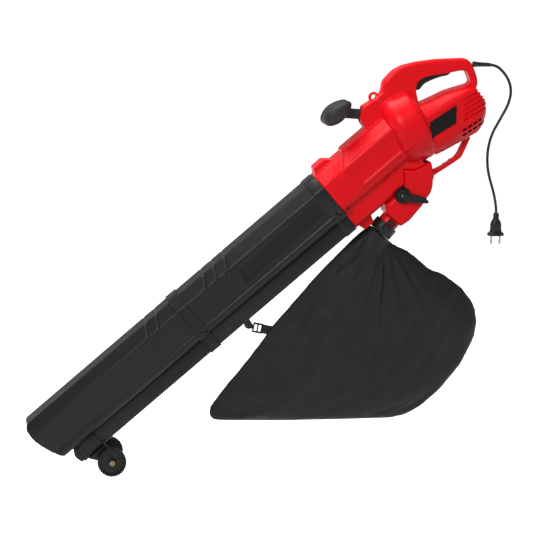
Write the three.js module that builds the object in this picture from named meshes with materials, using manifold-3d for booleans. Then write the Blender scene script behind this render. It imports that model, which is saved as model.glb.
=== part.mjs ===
// Hand-held electric leaf blower and garden vacuum with a collection bag.
// Millimetres. The part's own frame has +Z up and +X towards the rear, and its origin is the
// centre of the rear grip, where a hand holds the machine.
//
// The machine is drawn in a tube frame, which is turned as a whole by TUBE_TILT:
//   u along the tubes towards the rear, y across (negative is the near side),
//   v square to the tubes, upwards.
// Motor parts are drawn in a motor frame and the bag's collar in a spout frame, each with its
// own axis along local x. The bag, the cord and the plug hang in the part's frame.
import * as THREE from "three";
import { mergeVertices } from "three/addons/utils/BufferGeometryUtils.js";
import Module from "manifold-3d";

const wasm = await Module();
wasm.setup();

// ---------- driving dimensions ----------
const TUBE_TILT = THREE.MathUtils.degToRad(40.5);
const GRIP_CENTRE = { u: 338, v: 93 };
const GAP = 0.3; // between pieces that touch
const WALL = 3; // housing wall
const FAR_OUT = 400; // longer than any piece a cut goes through

const TUBE = {
  mouth: -815, joint: -396, wall: 2.5, width: 112, topFlat: 65, footWidth: 88,
  top: 74.7, shoulder: 51.2, skirt: -12, bottom: -26, spigot: 14, flange: 6,
};
const BLOW = { tip: -776, width: 70, height: 41, corner: 10, wall: 2.5 };
const COLLAR = { from: -28, proud: 1.6, screw: { u: -14.5, v: -16.5 } };
const BAND = { length: 27, proud: 2.2, screw: { u: -392, v: -20.5 } };
const DUCT = { halfWidth: TUBE.width / 2 + 2, topFlat: 60, top: 77, shoulder: 54, skirt: -6, ridge: 38, bottom: -68 };
const MOTOR = { u: 219, v: 22.5, dip: THREE.MathUtils.degToRad(14.5) };
const RING = { radius: 79.5, front: -38, rear: 38, corner: 22 };
const EYE_RADIUS = 34; // hole that the impeller draws through
const IMPELLER = { radius: 66, hub: 16, from: -27, to: 22, blades: 9, blade: 3 };
const SHAFT_RADIUS = 5;
const STATOR = { from: 66, to: 108, outer: 36, bore: 24.5 };
const HOUSING_HALF = 54;
const HANDLE_HALF = 19;
const SLOT_CLEARANCE = 0.8;
const TRIGGER = { u: 371, v: 60, half: 9, pin: 2.5, travel: THREE.MathUtils.degToRad(5) };
const AUX = { u: 170, v: 104, bossRadius: 12, armHalf: 9, bolt: 4, boltHalf: 17 };
const AUX_GRIP = { u: 126, v: 147.5, radius: 18.5, stretch: 1.9, half: 44, core: 10 };
const EYELET = { u: 208.5, v: 120, radius: 11.5, hole: 5.8, half: 5 };
const DIVERTER_HALF = 38.5;
const LEVER = { u: 120, v: -77, radius: 15, shaft: 3.5, reach: 58, thick: 9 };
const FLAP = { length: 36, thick: 3, hubWall: 2.2, room: 2 };
const SPOUT = { u: 36, dip: THREE.MathUtils.degToRad(8.7), radius: 22, bore: 19, length: 66 };
SPOUT.v = -92 - SPOUT.radius; // the collar stays clear of the housing
const BAG_COLLAR = { wall: 4, length: 24, lip: 2.4 };
const LATCH = { pivot: -13.6, claw: 19, tail: 6 }; // along the spout from its mouth
const WHEEL = { u: -723, v: -104.5, radius: 31, width: 17, inner: 43, axle: 4, hub: 9 };
const BRACKET = { from: -765, to: -712, proud: 3.5, top: -32, half: 36 };
const PEG = { u: -311, v: -81, radius: 3 };
const HOOK = { inner: 5.8, outer: 9.6, half: 4.5 };
const CORD = { radius: 3.1 };
const GUARD = { length: 44, root: 6.2, tip: 4.4 };
const PLUG = { flange: 18.5, neck: 5.5, height: 50, pin: 2.4, pinLength: 19, pinSpacing: 19 };

const RED = { color: 0xd3141f, roughness: 0.35, metalness: 0 };
const BLACK = { color: 0x2b2b2b, roughness: 0.5, metalness: 0 };
const SOFT_BLACK = { color: 0x3a3837, roughness: 0.75, metalness: 0 };
const DARK_STEEL = { color: 0x1c1c1c, roughness: 0.4, metalness: 1 };
const STEEL = { color: 0xa8a8a8, roughness: 0.3, metalness: 1 };
const COPPER = { color: 0xb06a40, roughness: 0.4, metalness: 1 };
const BRASS = { color: 0xb08d4a, roughness: 0.35, metalness: 1 };
const FABRIC = { color: 0x212121, roughness: 0.95, metalness: 0 };

// ---------- outlines ----------
// Moves each edge of a counter-clockwise outline outwards by a distance.
function grown(points, distance) {
  const count = points.length;
  const normal = (a, b) => {
    const length = Math.hypot(b[0] - a[0], b[1] - a[1]);
    return [(b[1] - a[1]) / length, (a[0] - b[0]) / length];
  };
  return points.map((p, i) => {
    const n1 = normal(points[(i + count - 1) % count], p);
    const n2 = normal(p, points[(i + 1) % count]);
    const share = distance / (1 + n1[0] * n2[0] + n1[1] * n2[1]);
    return [p[0] + (n1[0] + n2[0]) * share, p[1] + (n1[1] + n2[1]) * share];
  });
}

// Rounds each corner of an outline.
function rounded(points, radius, steps = 3) {
  const count = points.length;
  return points.flatMap((p, i) => {
    const towards = (q) => {
      const length = Math.hypot(q[0] - p[0], q[1] - p[1]);
      const share = Math.min(radius, length * 0.45) / length;
      return [p[0] + (q[0] - p[0]) * share, p[1] + (q[1] - p[1]) * share];
    };
    const a = towards(points[(i + count - 1) % count]);
    const b = towards(points[(i + 1) % count]);
    return Array.from({ length: steps + 1 }, (_, k) => {
      const t = k / steps;
      return [0, 1].map((c) => (1 - t) ** 2 * a[c] + 2 * t * (1 - t) * p[c] + t * t * b[c]);
    });
  });
}

const mirrored = (half) => [...half, ...half.map(([y, v]) => [-y, v]).reverse()];
const box2 = (x0, y0, x1, y1) => [[x0, y0], [x1, y0], [x1, y1], [x0, y1]];
const disc = (x, y, radius, sides = 24) =>
  Array.from({ length: sides }, (_, i) => {
    const angle = (2 * Math.PI * i) / sides;
    return [x + radius * Math.cos(angle), y + radius * Math.sin(angle)];
  });

// ---------- solids ----------
function solid(geometry, matrix) {
  const plain = geometry.index ? geometry.toNonIndexed() : geometry.clone();
  const bare = new THREE.BufferGeometry().setAttribute("position", plain.getAttribute("position"));
  if (matrix) bare.applyMatrix4(matrix);
  const merged = mergeVertices(bare, 1e-3);
  return new wasm.Manifold(
    new wasm.Mesh({
      numProp: 3,
      vertProperties: merged.getAttribute("position").array,
      triVerts: new Uint32Array(merged.index.array),
    }),
  );
}

const joined = (...solids) => solids.reduce((all, next) => all.add(next));
const cutBy = (first, ...cuts) => cuts.reduce((left, cut) => left.subtract(cut), first);

const TIDY = 0.01; // edges shorter than this are closed up
function geometryOf(made) {
  const mesh = made.asOriginal().setTolerance(TIDY).simplify().getMesh();
  const positions = new Float32Array(mesh.numVert * 3);
  for (let i = 0; i < mesh.numVert; i++) {
    positions.set(mesh.vertProperties.subarray(i * mesh.numProp, i * mesh.numProp + 3), i * 3);
  }
  return new THREE.BufferGeometry()
    .setAttribute("position", new THREE.BufferAttribute(positions, 3))
    .setIndex(new THREE.BufferAttribute(mesh.triVerts, 1));
}

function shapeOf(points) {
  return new THREE.Shape(points.map(([x, y]) => new THREE.Vector2(x, y)));
}

// An outline in u and v, as thick as y0 to y1, with its two faces drawn in by an edge bevel.
function slab(points, y0, y1, bevel = { size: 0, thick: 0, steps: 1 }, matrix) {
  const geometry = new THREE.ExtrudeGeometry(shapeOf(points), {
    depth: y1 - y0 - 2 * bevel.thick,
    bevelEnabled: bevel.thick > 0,
    bevelSize: bevel.size,
    bevelOffset: -bevel.size,
    bevelThickness: bevel.thick,
    bevelSegments: bevel.steps,
    curveSegments: 8,
  });
  geometry.rotateX(Math.PI / 2);
  geometry.translate(0, y1 - bevel.thick, 0);
  return solid(geometry, matrix);
}

// A section in y and v that runs along u.
const SECTION_TO_RUN = new THREE.Matrix4().makeBasis(
  new THREE.Vector3(0, 1, 0), new THREE.Vector3(0, 0, 1), new THREE.Vector3(1, 0, 0),
);
function run(section, from, to) {
  const geometry = new THREE.ExtrudeGeometry(shapeOf(section), { depth: to - from, bevelEnabled: false });
  geometry.applyMatrix4(SECTION_TO_RUN);
  geometry.translate(from, 0, 0);
  return solid(geometry);
}

// A rounded box section that changes from station to station: place, bottom, top and half width.
const LOFT = { sides: 24, squareness: 0.5 };
function loft(stations) {
  const bend = (value) => Math.sign(value) * Math.abs(value) ** LOFT.squareness;
  const positions = [];
  const index = [];
  stations.forEach(([u, bottom, top, half]) => {
    for (let i = 0; i < LOFT.sides; i++) {
      const angle = (2 * Math.PI * (i + 0.5)) / LOFT.sides;
      const middle = (top + bottom) / 2;
      positions.push(u, half * bend(Math.cos(angle)), middle + ((top - bottom) / 2) * bend(Math.sin(angle)));
    }
  });
  const at = (station, i) => station * LOFT.sides + (i % LOFT.sides);
  const last = stations.length - 1;
  for (let i = 0; i < LOFT.sides; i++) {
    for (let k = 0; k < last; k++) {
      index.push(at(k, i), at(k, i + 1), at(k + 1, i + 1), at(k, i), at(k + 1, i + 1), at(k + 1, i));
    }
  }
  for (let i = 1; i < LOFT.sides - 1; i++) {
    index.push(at(0, 0), at(0, i + 1), at(0, i), at(last, 0), at(last, i), at(last, i + 1));
  }
  const geometry = new THREE.BufferGeometry()
    .setAttribute("position", new THREE.BufferAttribute(new Float32Array(positions), 3)).setIndex(index);
  const made = solid(geometry);
  return made.volume() < 0 ? flipped(geometry) : made;
}

// A closed profile of [radius, height] points turned about the y axis, or about local x.
function turned(profile, sides = 32) {
  const points = profile.map(([r, h]) => new THREE.Vector2(r, h));
  return new THREE.LatheGeometry(points, sides);
}
const aboutY = (u, v, profile, sides) => solid(turned(profile, sides).translate(u, 0, v));
const aboutX = (profile, sides, matrix) => solid(turned(profile, sides).rotateZ(-Math.PI / 2), matrix);
const rod = (radius, from, to) => [[0, from], [radius, from], [radius, to], [0, to]];
const pipe = (inner, outer, from, to) =>
  [[inner, from], [outer, from], [outer, to], [inner, to], [inner, from]];

const frameAt = (u, v, dip) => new THREE.Matrix4().makeRotationY(dip).setPosition(u, 0, v);
const MOTOR_FRAME = frameAt(MOTOR.u, MOTOR.v, MOTOR.dip);
const SPOUT_FRAME = frameAt(SPOUT.u, SPOUT.v, Math.PI - SPOUT.dip);

// ---------- the scene graph ----------
const blower = new THREE.Group();
const machine = new THREE.Group(); // tube frame
machine.rotation.y = -TUBE_TILT;
machine.position.copy(
  new THREE.Vector3(-GRIP_CENTRE.u, 0, -GRIP_CENTRE.v).applyAxisAngle(new THREE.Vector3(0, 1, 0), -TUBE_TILT),
);
const motorGroup = new THREE.Group();
MOTOR_FRAME.decompose(motorGroup.position, motorGroup.quaternion, motorGroup.scale);
const spoutGroup = new THREE.Group();
SPOUT_FRAME.decompose(spoutGroup.position, spoutGroup.quaternion, spoutGroup.scale);
machine.add(motorGroup, spoutGroup);
blower.add(machine);

function piece(group, name, made, finish) {
  const mesh = new THREE.Mesh(geometryOf(made), new THREE.MeshStandardMaterial(finish));
  mesh.geometry.computeVertexNormals();
  mesh.name = name;
  group.add(mesh);
  return mesh;
}

// ---------- tubes ----------
const suctionSection = mirrored([
  [TUBE.footWidth / 2, TUBE.bottom], [TUBE.width / 2, TUBE.skirt],
  [TUBE.width / 2, TUBE.shoulder], [TUBE.topFlat / 2, TUBE.top],
]);
const BLOW_TOP = TUBE.bottom - 0.6;
const blowSection = rounded(
  box2(-BLOW.width / 2, BLOW_TOP - BLOW.height, BLOW.width / 2, BLOW_TOP), BLOW.corner,
);

// One length of tube, with a thinner spigot at its rear end that plugs into what it meets.
function tubeLength(section, wall, from, to, seatWall) {
  const spigotOut = grown(section, -seatWall - GAP);
  const bore = grown(section, -seatWall - GAP - wall);
  const shell = run(section, from, to).subtract(run(grown(section, -wall), from - 1, to - TUBE.flange));
  const spigot = run(spigotOut, to - TUBE.flange, to + TUBE.spigot);
  return joined(shell, spigot).subtract(run(bore, to - TUBE.flange - 1, to + TUBE.spigot + 1));
}

// What is left in front of the slanted mouth of the suction tube.
function mouthCut() {
  const m = TUBE.mouth;
  return slab(
    [[m - 60, TUBE.bottom - 5], [m + 28, TUBE.bottom - 5], [m + 19, -20], [m + 12, 0], [m, 41],
      [m, 64], [m + 11, TUBE.top + 5], [m - 60, TUBE.top + 5]].reverse(),
    -FAR_OUT, FAR_OUT,
  );
}

function tubes() {
  const lower = tubeLength(suctionSection, TUBE.wall, TUBE.mouth, TUBE.joint - GAP, TUBE.wall);
  piece(machine, "suction_tube_lower", lower.subtract(mouthCut()), BLACK);
  piece(machine, "suction_tube_upper",
    tubeLength(suctionSection, TUBE.wall, TUBE.joint, -GAP, WALL), BLACK);
  piece(machine, "blow_tube_lower",
    tubeLength(blowSection, BLOW.wall, BLOW.tip, TUBE.joint - GAP, BLOW.wall), BLACK);
  piece(machine, "blow_tube_upper",
    tubeLength(blowSection, BLOW.wall, TUBE.joint, -GAP, WALL), BLACK);
}

// A band round both tubes. It stands proud of them, holds them together and carries a screw boss.
const BOSS = { radius: 7, depth: 18 };
function bandRound(from, to, proud, screw) {
  const outer = (section) => run(grown(section, GAP + proud), from, to);
  const inner = (section) => run(grown(section, GAP), from - 1, to + 1);
  const face = bandFace(proud);
  const boss = slab(disc(screw.u, screw.v, BOSS.radius), -face, BOSS.depth - face);
  return cutBy(
    joined(outer(suctionSection), outer(blowSection), boss), inner(suctionSection), inner(blowSection),
  );
}
const bandFace = (proud) => TUBE.width / 2 + GAP + proud;

const CLIP_SLOT = { u: TUBE.joint - 6, v: 33, half: 3, height: 12 };
function bands() {
  const slot = slab(
    box2(CLIP_SLOT.u - CLIP_SLOT.half, CLIP_SLOT.v - CLIP_SLOT.height / 2,
      CLIP_SLOT.u + CLIP_SLOT.half, CLIP_SLOT.v + CLIP_SLOT.height / 2),
    -FAR_OUT, FAR_OUT,
  );
  const half = BAND.length / 2;
  piece(machine, "tube_joint_band",
    bandRound(TUBE.joint - half, TUBE.joint + half, BAND.proud, BAND.screw).subtract(slot), BLACK);
  piece(machine, "tube_collar", bandRound(COLLAR.from, -GAP, COLLAR.proud, COLLAR.screw), BLACK);
}

// ---------- housing ----------
// Stations of the motor housing: place, bottom, top and half width.
const motorStations = [
  [232, -62, 60, 54], [256, -68, 60, 54], [272, -71, 53, 54], [300, -77, 45, 53], [331, -83, 37, 51],
  [352, -78, 27, 49], [370, -64, 16, 46], [384, -48, 4, 40],
];
const handleOutline = [
  [262, 20], [395, -8], [404.5, 4.5], [411, 21], [417, 41], [413, 56], [391, 72], [361, 95.4],
  [325, 118.6], [298, 132], [277, 137.5], [244, 134], [230, 122], [214, 112], [205, 60],
];
const handOpening = [
  [272, 50], [300, 44], [332, 36.9], [361.4, 22.3], [376, 13.5], [385, 10.5], [389.5, 14],
  [395.8, 32.5], [387.8, 41.3], [361.4, 55.3], [332, 72.9], [317, 80.5], [303, 82], [293, 78],
  [286, 71.4], [280, 61],
];
const auxBlock = [
  [148, 60], [228, 60], [228, 118], [196, 119], [176, 122], [168, 116], [156, 107], [151, 97],
];
const lowerBar = [
  [192, -78], [200, -96], [245, -102], [271, -105], [291, -96], [316, -84], [300, -72], [286, -79],
  [272, -85], [263, -88], [229, -85], [207, -79], [200, -70],
];
const diverterOutline = [
  [68, -84], [74, -128], [97, -131], [139, -124], [156, -118], [170, -115], [183, -106], [191, -97],
  [199, -92], [214, -62], [200, -58], [176, -51], [157, -33], [150, -42], [131, -70], [80, -70],
];

const ductSection = mirrored([
  [28, DUCT.bottom], [DUCT.ridge, DUCT.bottom + 8], [DUCT.ridge, -30], [44, -22],
  [DUCT.halfWidth - 6, -17], [DUCT.halfWidth, DUCT.skirt], [DUCT.halfWidth, DUCT.shoulder],
  [DUCT.topFlat / 2, DUCT.top],
]);

// The bulged band round the impeller: its profile, drawn in by the wall where it is hollow.
function ringProfile(inset) {
  const r = RING.radius - inset;
  const front = RING.front + inset;
  const rear = RING.rear - inset;
  const c = RING.corner - inset / 2;
  return [
    [0, front], [r - 1.3 * c, front], [r - 0.8 * c, front + 0.15 * c], [r - 0.38 * c, front + 0.45 * c],
    [r - 0.1 * c, front + c], [r, front + 1.7 * c], [r, rear - 1.4 * c], [r - 0.1 * c, rear - 0.8 * c],
    [r - 0.4 * c, rear - 0.35 * c], [r - 0.9 * c, rear - 0.06 * c], [r - 1.4 * c, rear], [0, rear],
  ];
}

const labelPlate = [[241, -19], [304, -29], [329, 0.5], [262, 9]];
const HANDLE_BEVEL = { size: 8, thick: 10, steps: 2 };
const ventRows = [{ u: 306, v: -55 }, { u: 300, v: -65 }];
const VENT = { count: 4, pitch: 13, length: 9, height: 3.2 };
const SHELL_SCREW = { u: 11.5, v: -17.5, head: 3.6, seat: 5.8 - TUBE.width / 2 };

function motorBody(inset) {
  const last = motorStations.length - 1;
  return loft(motorStations.map(([u, bottom, top, half], i) => [
    i === last ? u - inset : u, bottom + inset, top - inset, half - inset,
  ]));
}

function housingOuter() {
  const topBump = slab([[1, 70], [58, 70], [56, 77], [39, 92], [12, 92]], -23, 23);
  const platform = slab([[72, 70], [152, 70], [152, 83.6], [82, 83.6]], -22, 22);
  const bottomBump = slab([[5, -60], [12, -86], [37, -86], [46, -60]], -18, 18);
  const handle = slab(handleOutline, -HANDLE_HALF, HANDLE_HALF, HANDLE_BEVEL);
  const block = slab(auxBlock, -20, 20, { size: 4, thick: 5, steps: 1 });
  const eyelet = slab(disc(EYELET.u, EYELET.v, EYELET.radius), -EYELET.half, EYELET.half);
  const bar = slab(lowerBar, -14, 14, { size: 3, thick: 4, steps: 1 });
  const all = joined(
    run(ductSection, 0, 200), topBump, platform, bottomBump,
    aboutX(ringProfile(0), 32, MOTOR_FRAME), motorBody(0), handle, block, eyelet, bar,
  );
  return cutBy(
    all,
    slab(handOpening, -FAR_OUT, FAR_OUT),
    slab(disc(EYELET.u, EYELET.v, EYELET.hole), -FAR_OUT, FAR_OUT),
  );
}

const triggerOutline = [
  [287, 72], [294, 68.5], [308.6, 71.4], [317.4, 69.9], [332, 65.5], [346.7, 59.7], [358.4, 53.1],
  [366, 51.5], [374, 55], [376.5, 60], [374, 65.5], [360, 70], [346, 77], [332, 84], [318, 90],
  [304, 91], [294, 87], [288, 80],
];
// A matrix that turns things in the u-v plane about a point; positive lifts what is in front of it.
function turnAt(u, v, angle) {
  return new THREE.Matrix4().makeTranslation(u, 0, v)
    .multiply(new THREE.Matrix4().makeRotationY(angle))
    .multiply(new THREE.Matrix4().makeTranslation(-u, 0, -v));
}

function triggerSlot() {
  const outline = grown(triggerOutline, SLOT_CLEARANCE);
  const half = TRIGGER.half + SLOT_CLEARANCE;
  const swept = [0, 0.35, 0.7, 1.1].map((share) =>
    slab(outline, -half, half, undefined, turnAt(TRIGGER.u, TRIGGER.v, share * TRIGGER.travel)));
  return joined(...swept);
}

// Everything that air, the motor, the switch and the moving pieces need inside the housing.
function housingInside() {
  const behindWall = aboutX(rod(FAR_OUT, RING.front + 0.5, FAR_OUT), 8, MOTOR_FRAME);
  const suction = run(grown(suctionSection, -WALL), -1, 240).subtract(behindWall);
  const blowing = run(grown(blowSection, -WALL), -1, 170);
  const eye = aboutX(rod(EYE_RADIUS, RING.front - 2, RING.front + 6), 32, MOTOR_FRAME);
  const chamber = aboutX(ringProfile(WALL), 32, MOTOR_FRAME);
  const beforePlate = aboutX(rod(FAR_OUT, -FAR_OUT, RING.rear + WALL), 8, MOTOR_FRAME);
  const motorRoom = motorBody(WALL).subtract(beforePlate);
  const plateHole = aboutX(rod(PLATE.radius + GAP, RING.rear - WALL - 1, RING.rear + WALL + 1), 32, MOTOR_FRAME);
  const port = slab([[163, -34], [176, -60], [205, -70], [212, -50], [200, -20]], -22, 22);
  const handleRoom = slab(grown(handleOutline, -WALL), -HANDLE_HALF + WALL, HANDLE_HALF - WALL,
    { size: HANDLE_BEVEL.size - 1.5, thick: HANDLE_BEVEL.thick - 1.5, steps: 1 })
    .subtract(slab(grown(handOpening, WALL), -FAR_OUT, FAR_OUT))
    .subtract(aboutX(rod(RING.radius + 4, -FAR_OUT, RING.rear + 4), 32, MOTOR_FRAME));
  return joined(suction, blowing, eye, chamber, motorRoom, plateHole, port, handleRoom);
}

function auxSlot() {
  const half = AUX.armHalf + SLOT_CLEARANCE;
  const r = AUX.bossRadius + 1.5;
  const sweep = [[AUX.u - 3, AUX.v - r], [AUX.u + 9, AUX.v + r - 4], [AUX.u + 4, AUX.v + 40],
    [AUX.u - 50, AUX.v + 40], [AUX.u - 50, AUX.v - r]];
  return joined(slab(disc(AUX.u, AUX.v, r), -half, half), slab(sweep, -half, half));
}

function vents() {
  return ventRows.flatMap(({ u, v }) =>
    Array.from({ length: VENT.count }, (_, i) => {
      const u0 = u + i * VENT.pitch;
      const v0 = v - i * 2.2;
      return slab(box2(u0, v0, u0 + VENT.length, v0 + VENT.height), -FAR_OUT, FAR_OUT);
    }));
}

const CORD_EXIT = new THREE.Vector3(95.5, 0, 7); // part frame
const CORD_HEADING = new THREE.Vector3(44, 0, -1.5).normalize();
const GUARD_STUB = { radius: 4.2, length: 12, clear: 5 };

function cordHole() {
  const inTube = new THREE.Matrix4().copy(machineMatrix()).invert().multiply(guardMatrix());
  return aboutX(rod(GUARD_STUB.radius + GAP, -GUARD_STUB.length - 8, 30), 20, inTube);
}
function machineMatrix() {
  machine.updateMatrixWorld(true);
  return machine.matrixWorld;
}
// Local x along the cord's way out, with its origin where the guard leaves the handle.
function guardMatrix() {
  const turn = new THREE.Quaternion().setFromUnitVectors(new THREE.Vector3(1, 0, 0), CORD_HEADING);
  return new THREE.Matrix4().makeRotationFromQuaternion(turn).setPosition(CORD_EXIT);
}

const PLATE = { radius: 49, from: RING.rear - WALL + 0.2, to: RING.rear + WALL - 0.2 };

const halves = (made) => ({
  near: made.subtract(slab(box2(-FAR_OUT * 3, -FAR_OUT * 2, FAR_OUT * 3, FAR_OUT * 2), -GAP / 2, FAR_OUT)),
  far: made.subtract(slab(box2(-FAR_OUT * 3, -FAR_OUT * 2, FAR_OUT * 3, FAR_OUT * 2), -FAR_OUT, GAP / 2)),
});

function housing() {
  const boltHole = slab(disc(AUX.u, AUX.v, AUX.bolt + GAP, 16), -AUX.boltHalf - GAP, AUX.boltHalf + GAP);
  const pinHole = slab(disc(TRIGGER.u, TRIGGER.v, TRIGGER.pin + GAP, 12), -16, 16);
  const screwHole = slab(disc(SHELL_SCREW.u, SHELL_SCREW.v, SHELL_SCREW.head + GAP, 16), -FAR_OUT, SHELL_SCREW.seat);
  const labelSeat = slab(grown(labelPlate, GAP), -FAR_OUT, -HOUSING_HALF + 1);
  const shell = cutBy(
    housingOuter(),
    slab(grown(diverterOutline, GAP), -FAR_OUT, FAR_OUT),
    housingInside(), triggerSlot(), auxSlot(), boltHole, pinHole, screwHole, labelSeat,
    cordHole(), ...vents(),
  );
  const { near, far } = halves(shell);
  piece(machine, "main_shell_near", largest(near), RED);
  piece(machine, "main_shell_far", largest(far), RED);
  piece(machine, "label_plate", slab(labelPlate, -HOUSING_HALF - 0.4, -HOUSING_HALF + 1 - GAP), BLACK);
}

// Keeps the body of a cut piece, without the slivers that a cut can leave beside it.
function largest(made) {
  const bodies = made.decompose();
  return bodies.reduce((best, next) => (next.volume() > best.volume() ? next : best));
}

// ---------- diverter: blows through the lower tube, or sucks into the bag ----------
function diverter() {
  const bevel = { size: 8, thick: 10, steps: 2 };
  const outer = slab(diverterOutline, -DIVERTER_HALF, DIVERTER_HALF, bevel);
  const inside = slab(grown(diverterOutline, -WALL), -DIVERTER_HALF + WALL, DIVERTER_HALF - WALL,
    { size: 6.5, thick: 8.5, steps: 1 });
  const spout = aboutX(rod(SPOUT.radius, -SPOUT.length, 0), 32, SPOUT_FRAME);
  const bore = aboutX(rod(SPOUT.bore, -SPOUT.length + 6, 1), 32, SPOUT_FRAME);
  const toTube = run(grown(blowSection, -WALL), 110, 158);
  const fromFan = slab([[163, -34], [176, -60], [205, -70], [212, -50], [200, -20]], -22, 22);
  const shaftHole = slab(disc(LEVER.u, LEVER.v, LEVER.shaft + GAP, 20), -FAR_OUT, FAR_OUT);
  const hubRoom = slab(disc(LEVER.u, LEVER.v, FLAP_HUB + FLAP.room, 20), -FLAP_HALF - GAP, FLAP_HALF + GAP);
  const made = cutBy(joined(outer, spout), inside, bore, toTube, fromFan, shaftHole, hubRoom);
  const { near, far } = halves(made);
  piece(machine, "diverter_housing_near", largest(near), RED);
  piece(machine, "diverter_housing_far", largest(far), RED);
}

const FLAP_HUB = LEVER.shaft + GAP + FLAP.hubWall;
const FLAP_HALF = DIVERTER_HALF - WALL - 10;
function changeover() {
  const face = -DIVERTER_HALF;
  piece(machine, "lever_escutcheon",
    aboutY(LEVER.u, LEVER.v, pipe(LEVER.shaft + GAP, LEVER.radius + 2.5, face - 3, face - GAP), 32), BLACK);
  const knob = aboutY(LEVER.u, LEVER.v, rod(LEVER.radius, face - 3 - LEVER.thick, face - 3 - GAP), 32);
  const tip = { u: LEVER.u + 0.545 * LEVER.reach, v: LEVER.v - 0.838 * LEVER.reach };
  const arm = slab(
    [[LEVER.u - 6, LEVER.v - 9], [tip.u - 14, tip.v + 11], [tip.u, tip.v], [tip.u + 2, tip.v + 15],
      [LEVER.u + 13, LEVER.v - 3], [LEVER.u + 2, LEVER.v + 5]],
    face - 3 - LEVER.thick, face - 5,
    { size: 1.5, thick: 1.5, steps: 1 },
  );
  const socket = aboutY(LEVER.u, LEVER.v, rod(LEVER.shaft + GAP, face - LEVER.thick + 2, face + 5), 20);
  piece(machine, "changeover_lever", joined(knob, arm).subtract(socket), BLACK);
  piece(machine, "flap_shaft",
    aboutY(LEVER.u, LEVER.v, rod(LEVER.shaft, face - LEVER.thick + 2 + GAP, DIVERTER_HALF + 2), 20), STEEL);
  const hub = aboutY(LEVER.u, LEVER.v, pipe(LEVER.shaft + GAP, FLAP_HUB, -FLAP_HALF, FLAP_HALF), 20);
  const plate = slab(
    box2(LEVER.u + FLAP_HUB - 1, LEVER.v - FLAP.thick / 2, LEVER.u + FLAP.length, LEVER.v + FLAP.thick / 2),
    -FLAP_HALF, FLAP_HALF,
  );
  piece(machine, "changeover_flap", joined(hub, plate), BLACK);
}

// ---------- motor and fan, in the motor frame ----------
function motor() {
  const put = (name, profile, sides, finish) => piece(motorGroup, name, aboutX(profile, sides), finish);
  const s = SHAFT_RADIUS;
  const bearing = { outer: 11, width: 9, front: RING.rear + WALL + 2, rear: STATOR.to + 30 };
  piece(motorGroup, "motor_plate",
    aboutX(pipe(s + 1.5, PLATE.radius, PLATE.from, PLATE.to), 32), BLACK);
  put("bearing_front", pipe(s + GAP, bearing.outer, bearing.front, bearing.front + bearing.width), 24, STEEL);
  put("bearing_rear", pipe(s + GAP, bearing.outer, bearing.rear, bearing.rear + bearing.width), 24, STEEL);
  put("motor_stator", pipe(STATOR.bore, STATOR.outer, STATOR.from, STATOR.to), 24, STEEL);
  put("rotor_shaft", rod(s, IMPELLER.from - 8, bearing.rear + bearing.width + 3), 20, STEEL);
  put("armature_core", pipe(s + GAP, STATOR.bore - 1.2, STATOR.from - 3, STATOR.to + 3), 24, COPPER);
  const comm = { from: STATOR.to + 8, to: STATOR.to + 24, radius: 13 };
  put("commutator", pipe(s + GAP, comm.radius, comm.from, comm.to), 24, COPPER);
  coolingFan(bearing.front + bearing.width + 1);
  impeller();
  const brushHalf = 3.5;
  const brushMid = (comm.from + comm.to) / 2;
  [["brush_near", -1], ["brush_far", 1]].forEach(([name, side]) => {
    const y = [side * (comm.radius + 0.6), side * (comm.radius + 17)].sort((a, b) => a - b);
    piece(motorGroup, name,
      slab(box2(brushMid - brushHalf, -brushHalf, brushMid + brushHalf, brushHalf), y[0], y[1]), BRASS);
  });
}

// A hub with straight radial blades.
function bladed(hub, radius, from, to, count, thick) {
  const blades = Array.from({ length: count }, (_, i) => {
    const blade = slab(box2(from, hub - 2, to, radius), -thick / 2, thick / 2);
    const turn = new THREE.Matrix4().makeRotationX((2 * Math.PI * i) / count).elements;
    return blade.transform([...turn]);
  });
  return blades;
}

function coolingFan(from) {
  const s = SHAFT_RADIUS + GAP;
  const hub = aboutX(pipe(s, 12, from, from + 7), 24);
  const made = joined(hub, ...bladed(10, 30, from, from + 7, 10, 1.6));
  piece(motorGroup, "cooling_fan", made, BLACK);
}

function impeller() {
  const s = SHAFT_RADIUS + GAP;
  const back = aboutX(pipe(s, IMPELLER.radius, IMPELLER.to - 3, IMPELLER.to), 36);
  const hub = aboutX(pipe(s, IMPELLER.hub, IMPELLER.from + 6, IMPELLER.to), 24);
  const blades = bladed(IMPELLER.hub, IMPELLER.radius, IMPELLER.from + 4, IMPELLER.to - 1, IMPELLER.blades, IMPELLER.blade);
  piece(motorGroup, "impeller", joined(back, hub, ...blades), { color: 0x8d8f92, roughness: 0.5, metalness: 0.8 });
  const nut = aboutX(rod(9, IMPELLER.from - 2, IMPELLER.from + 6 - GAP), 6)
    .subtract(aboutX(rod(s, IMPELLER.from - 3, IMPELLER.from + 6), 24));
  piece(motorGroup, "impeller_nut", nut, STEEL);
}

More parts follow.
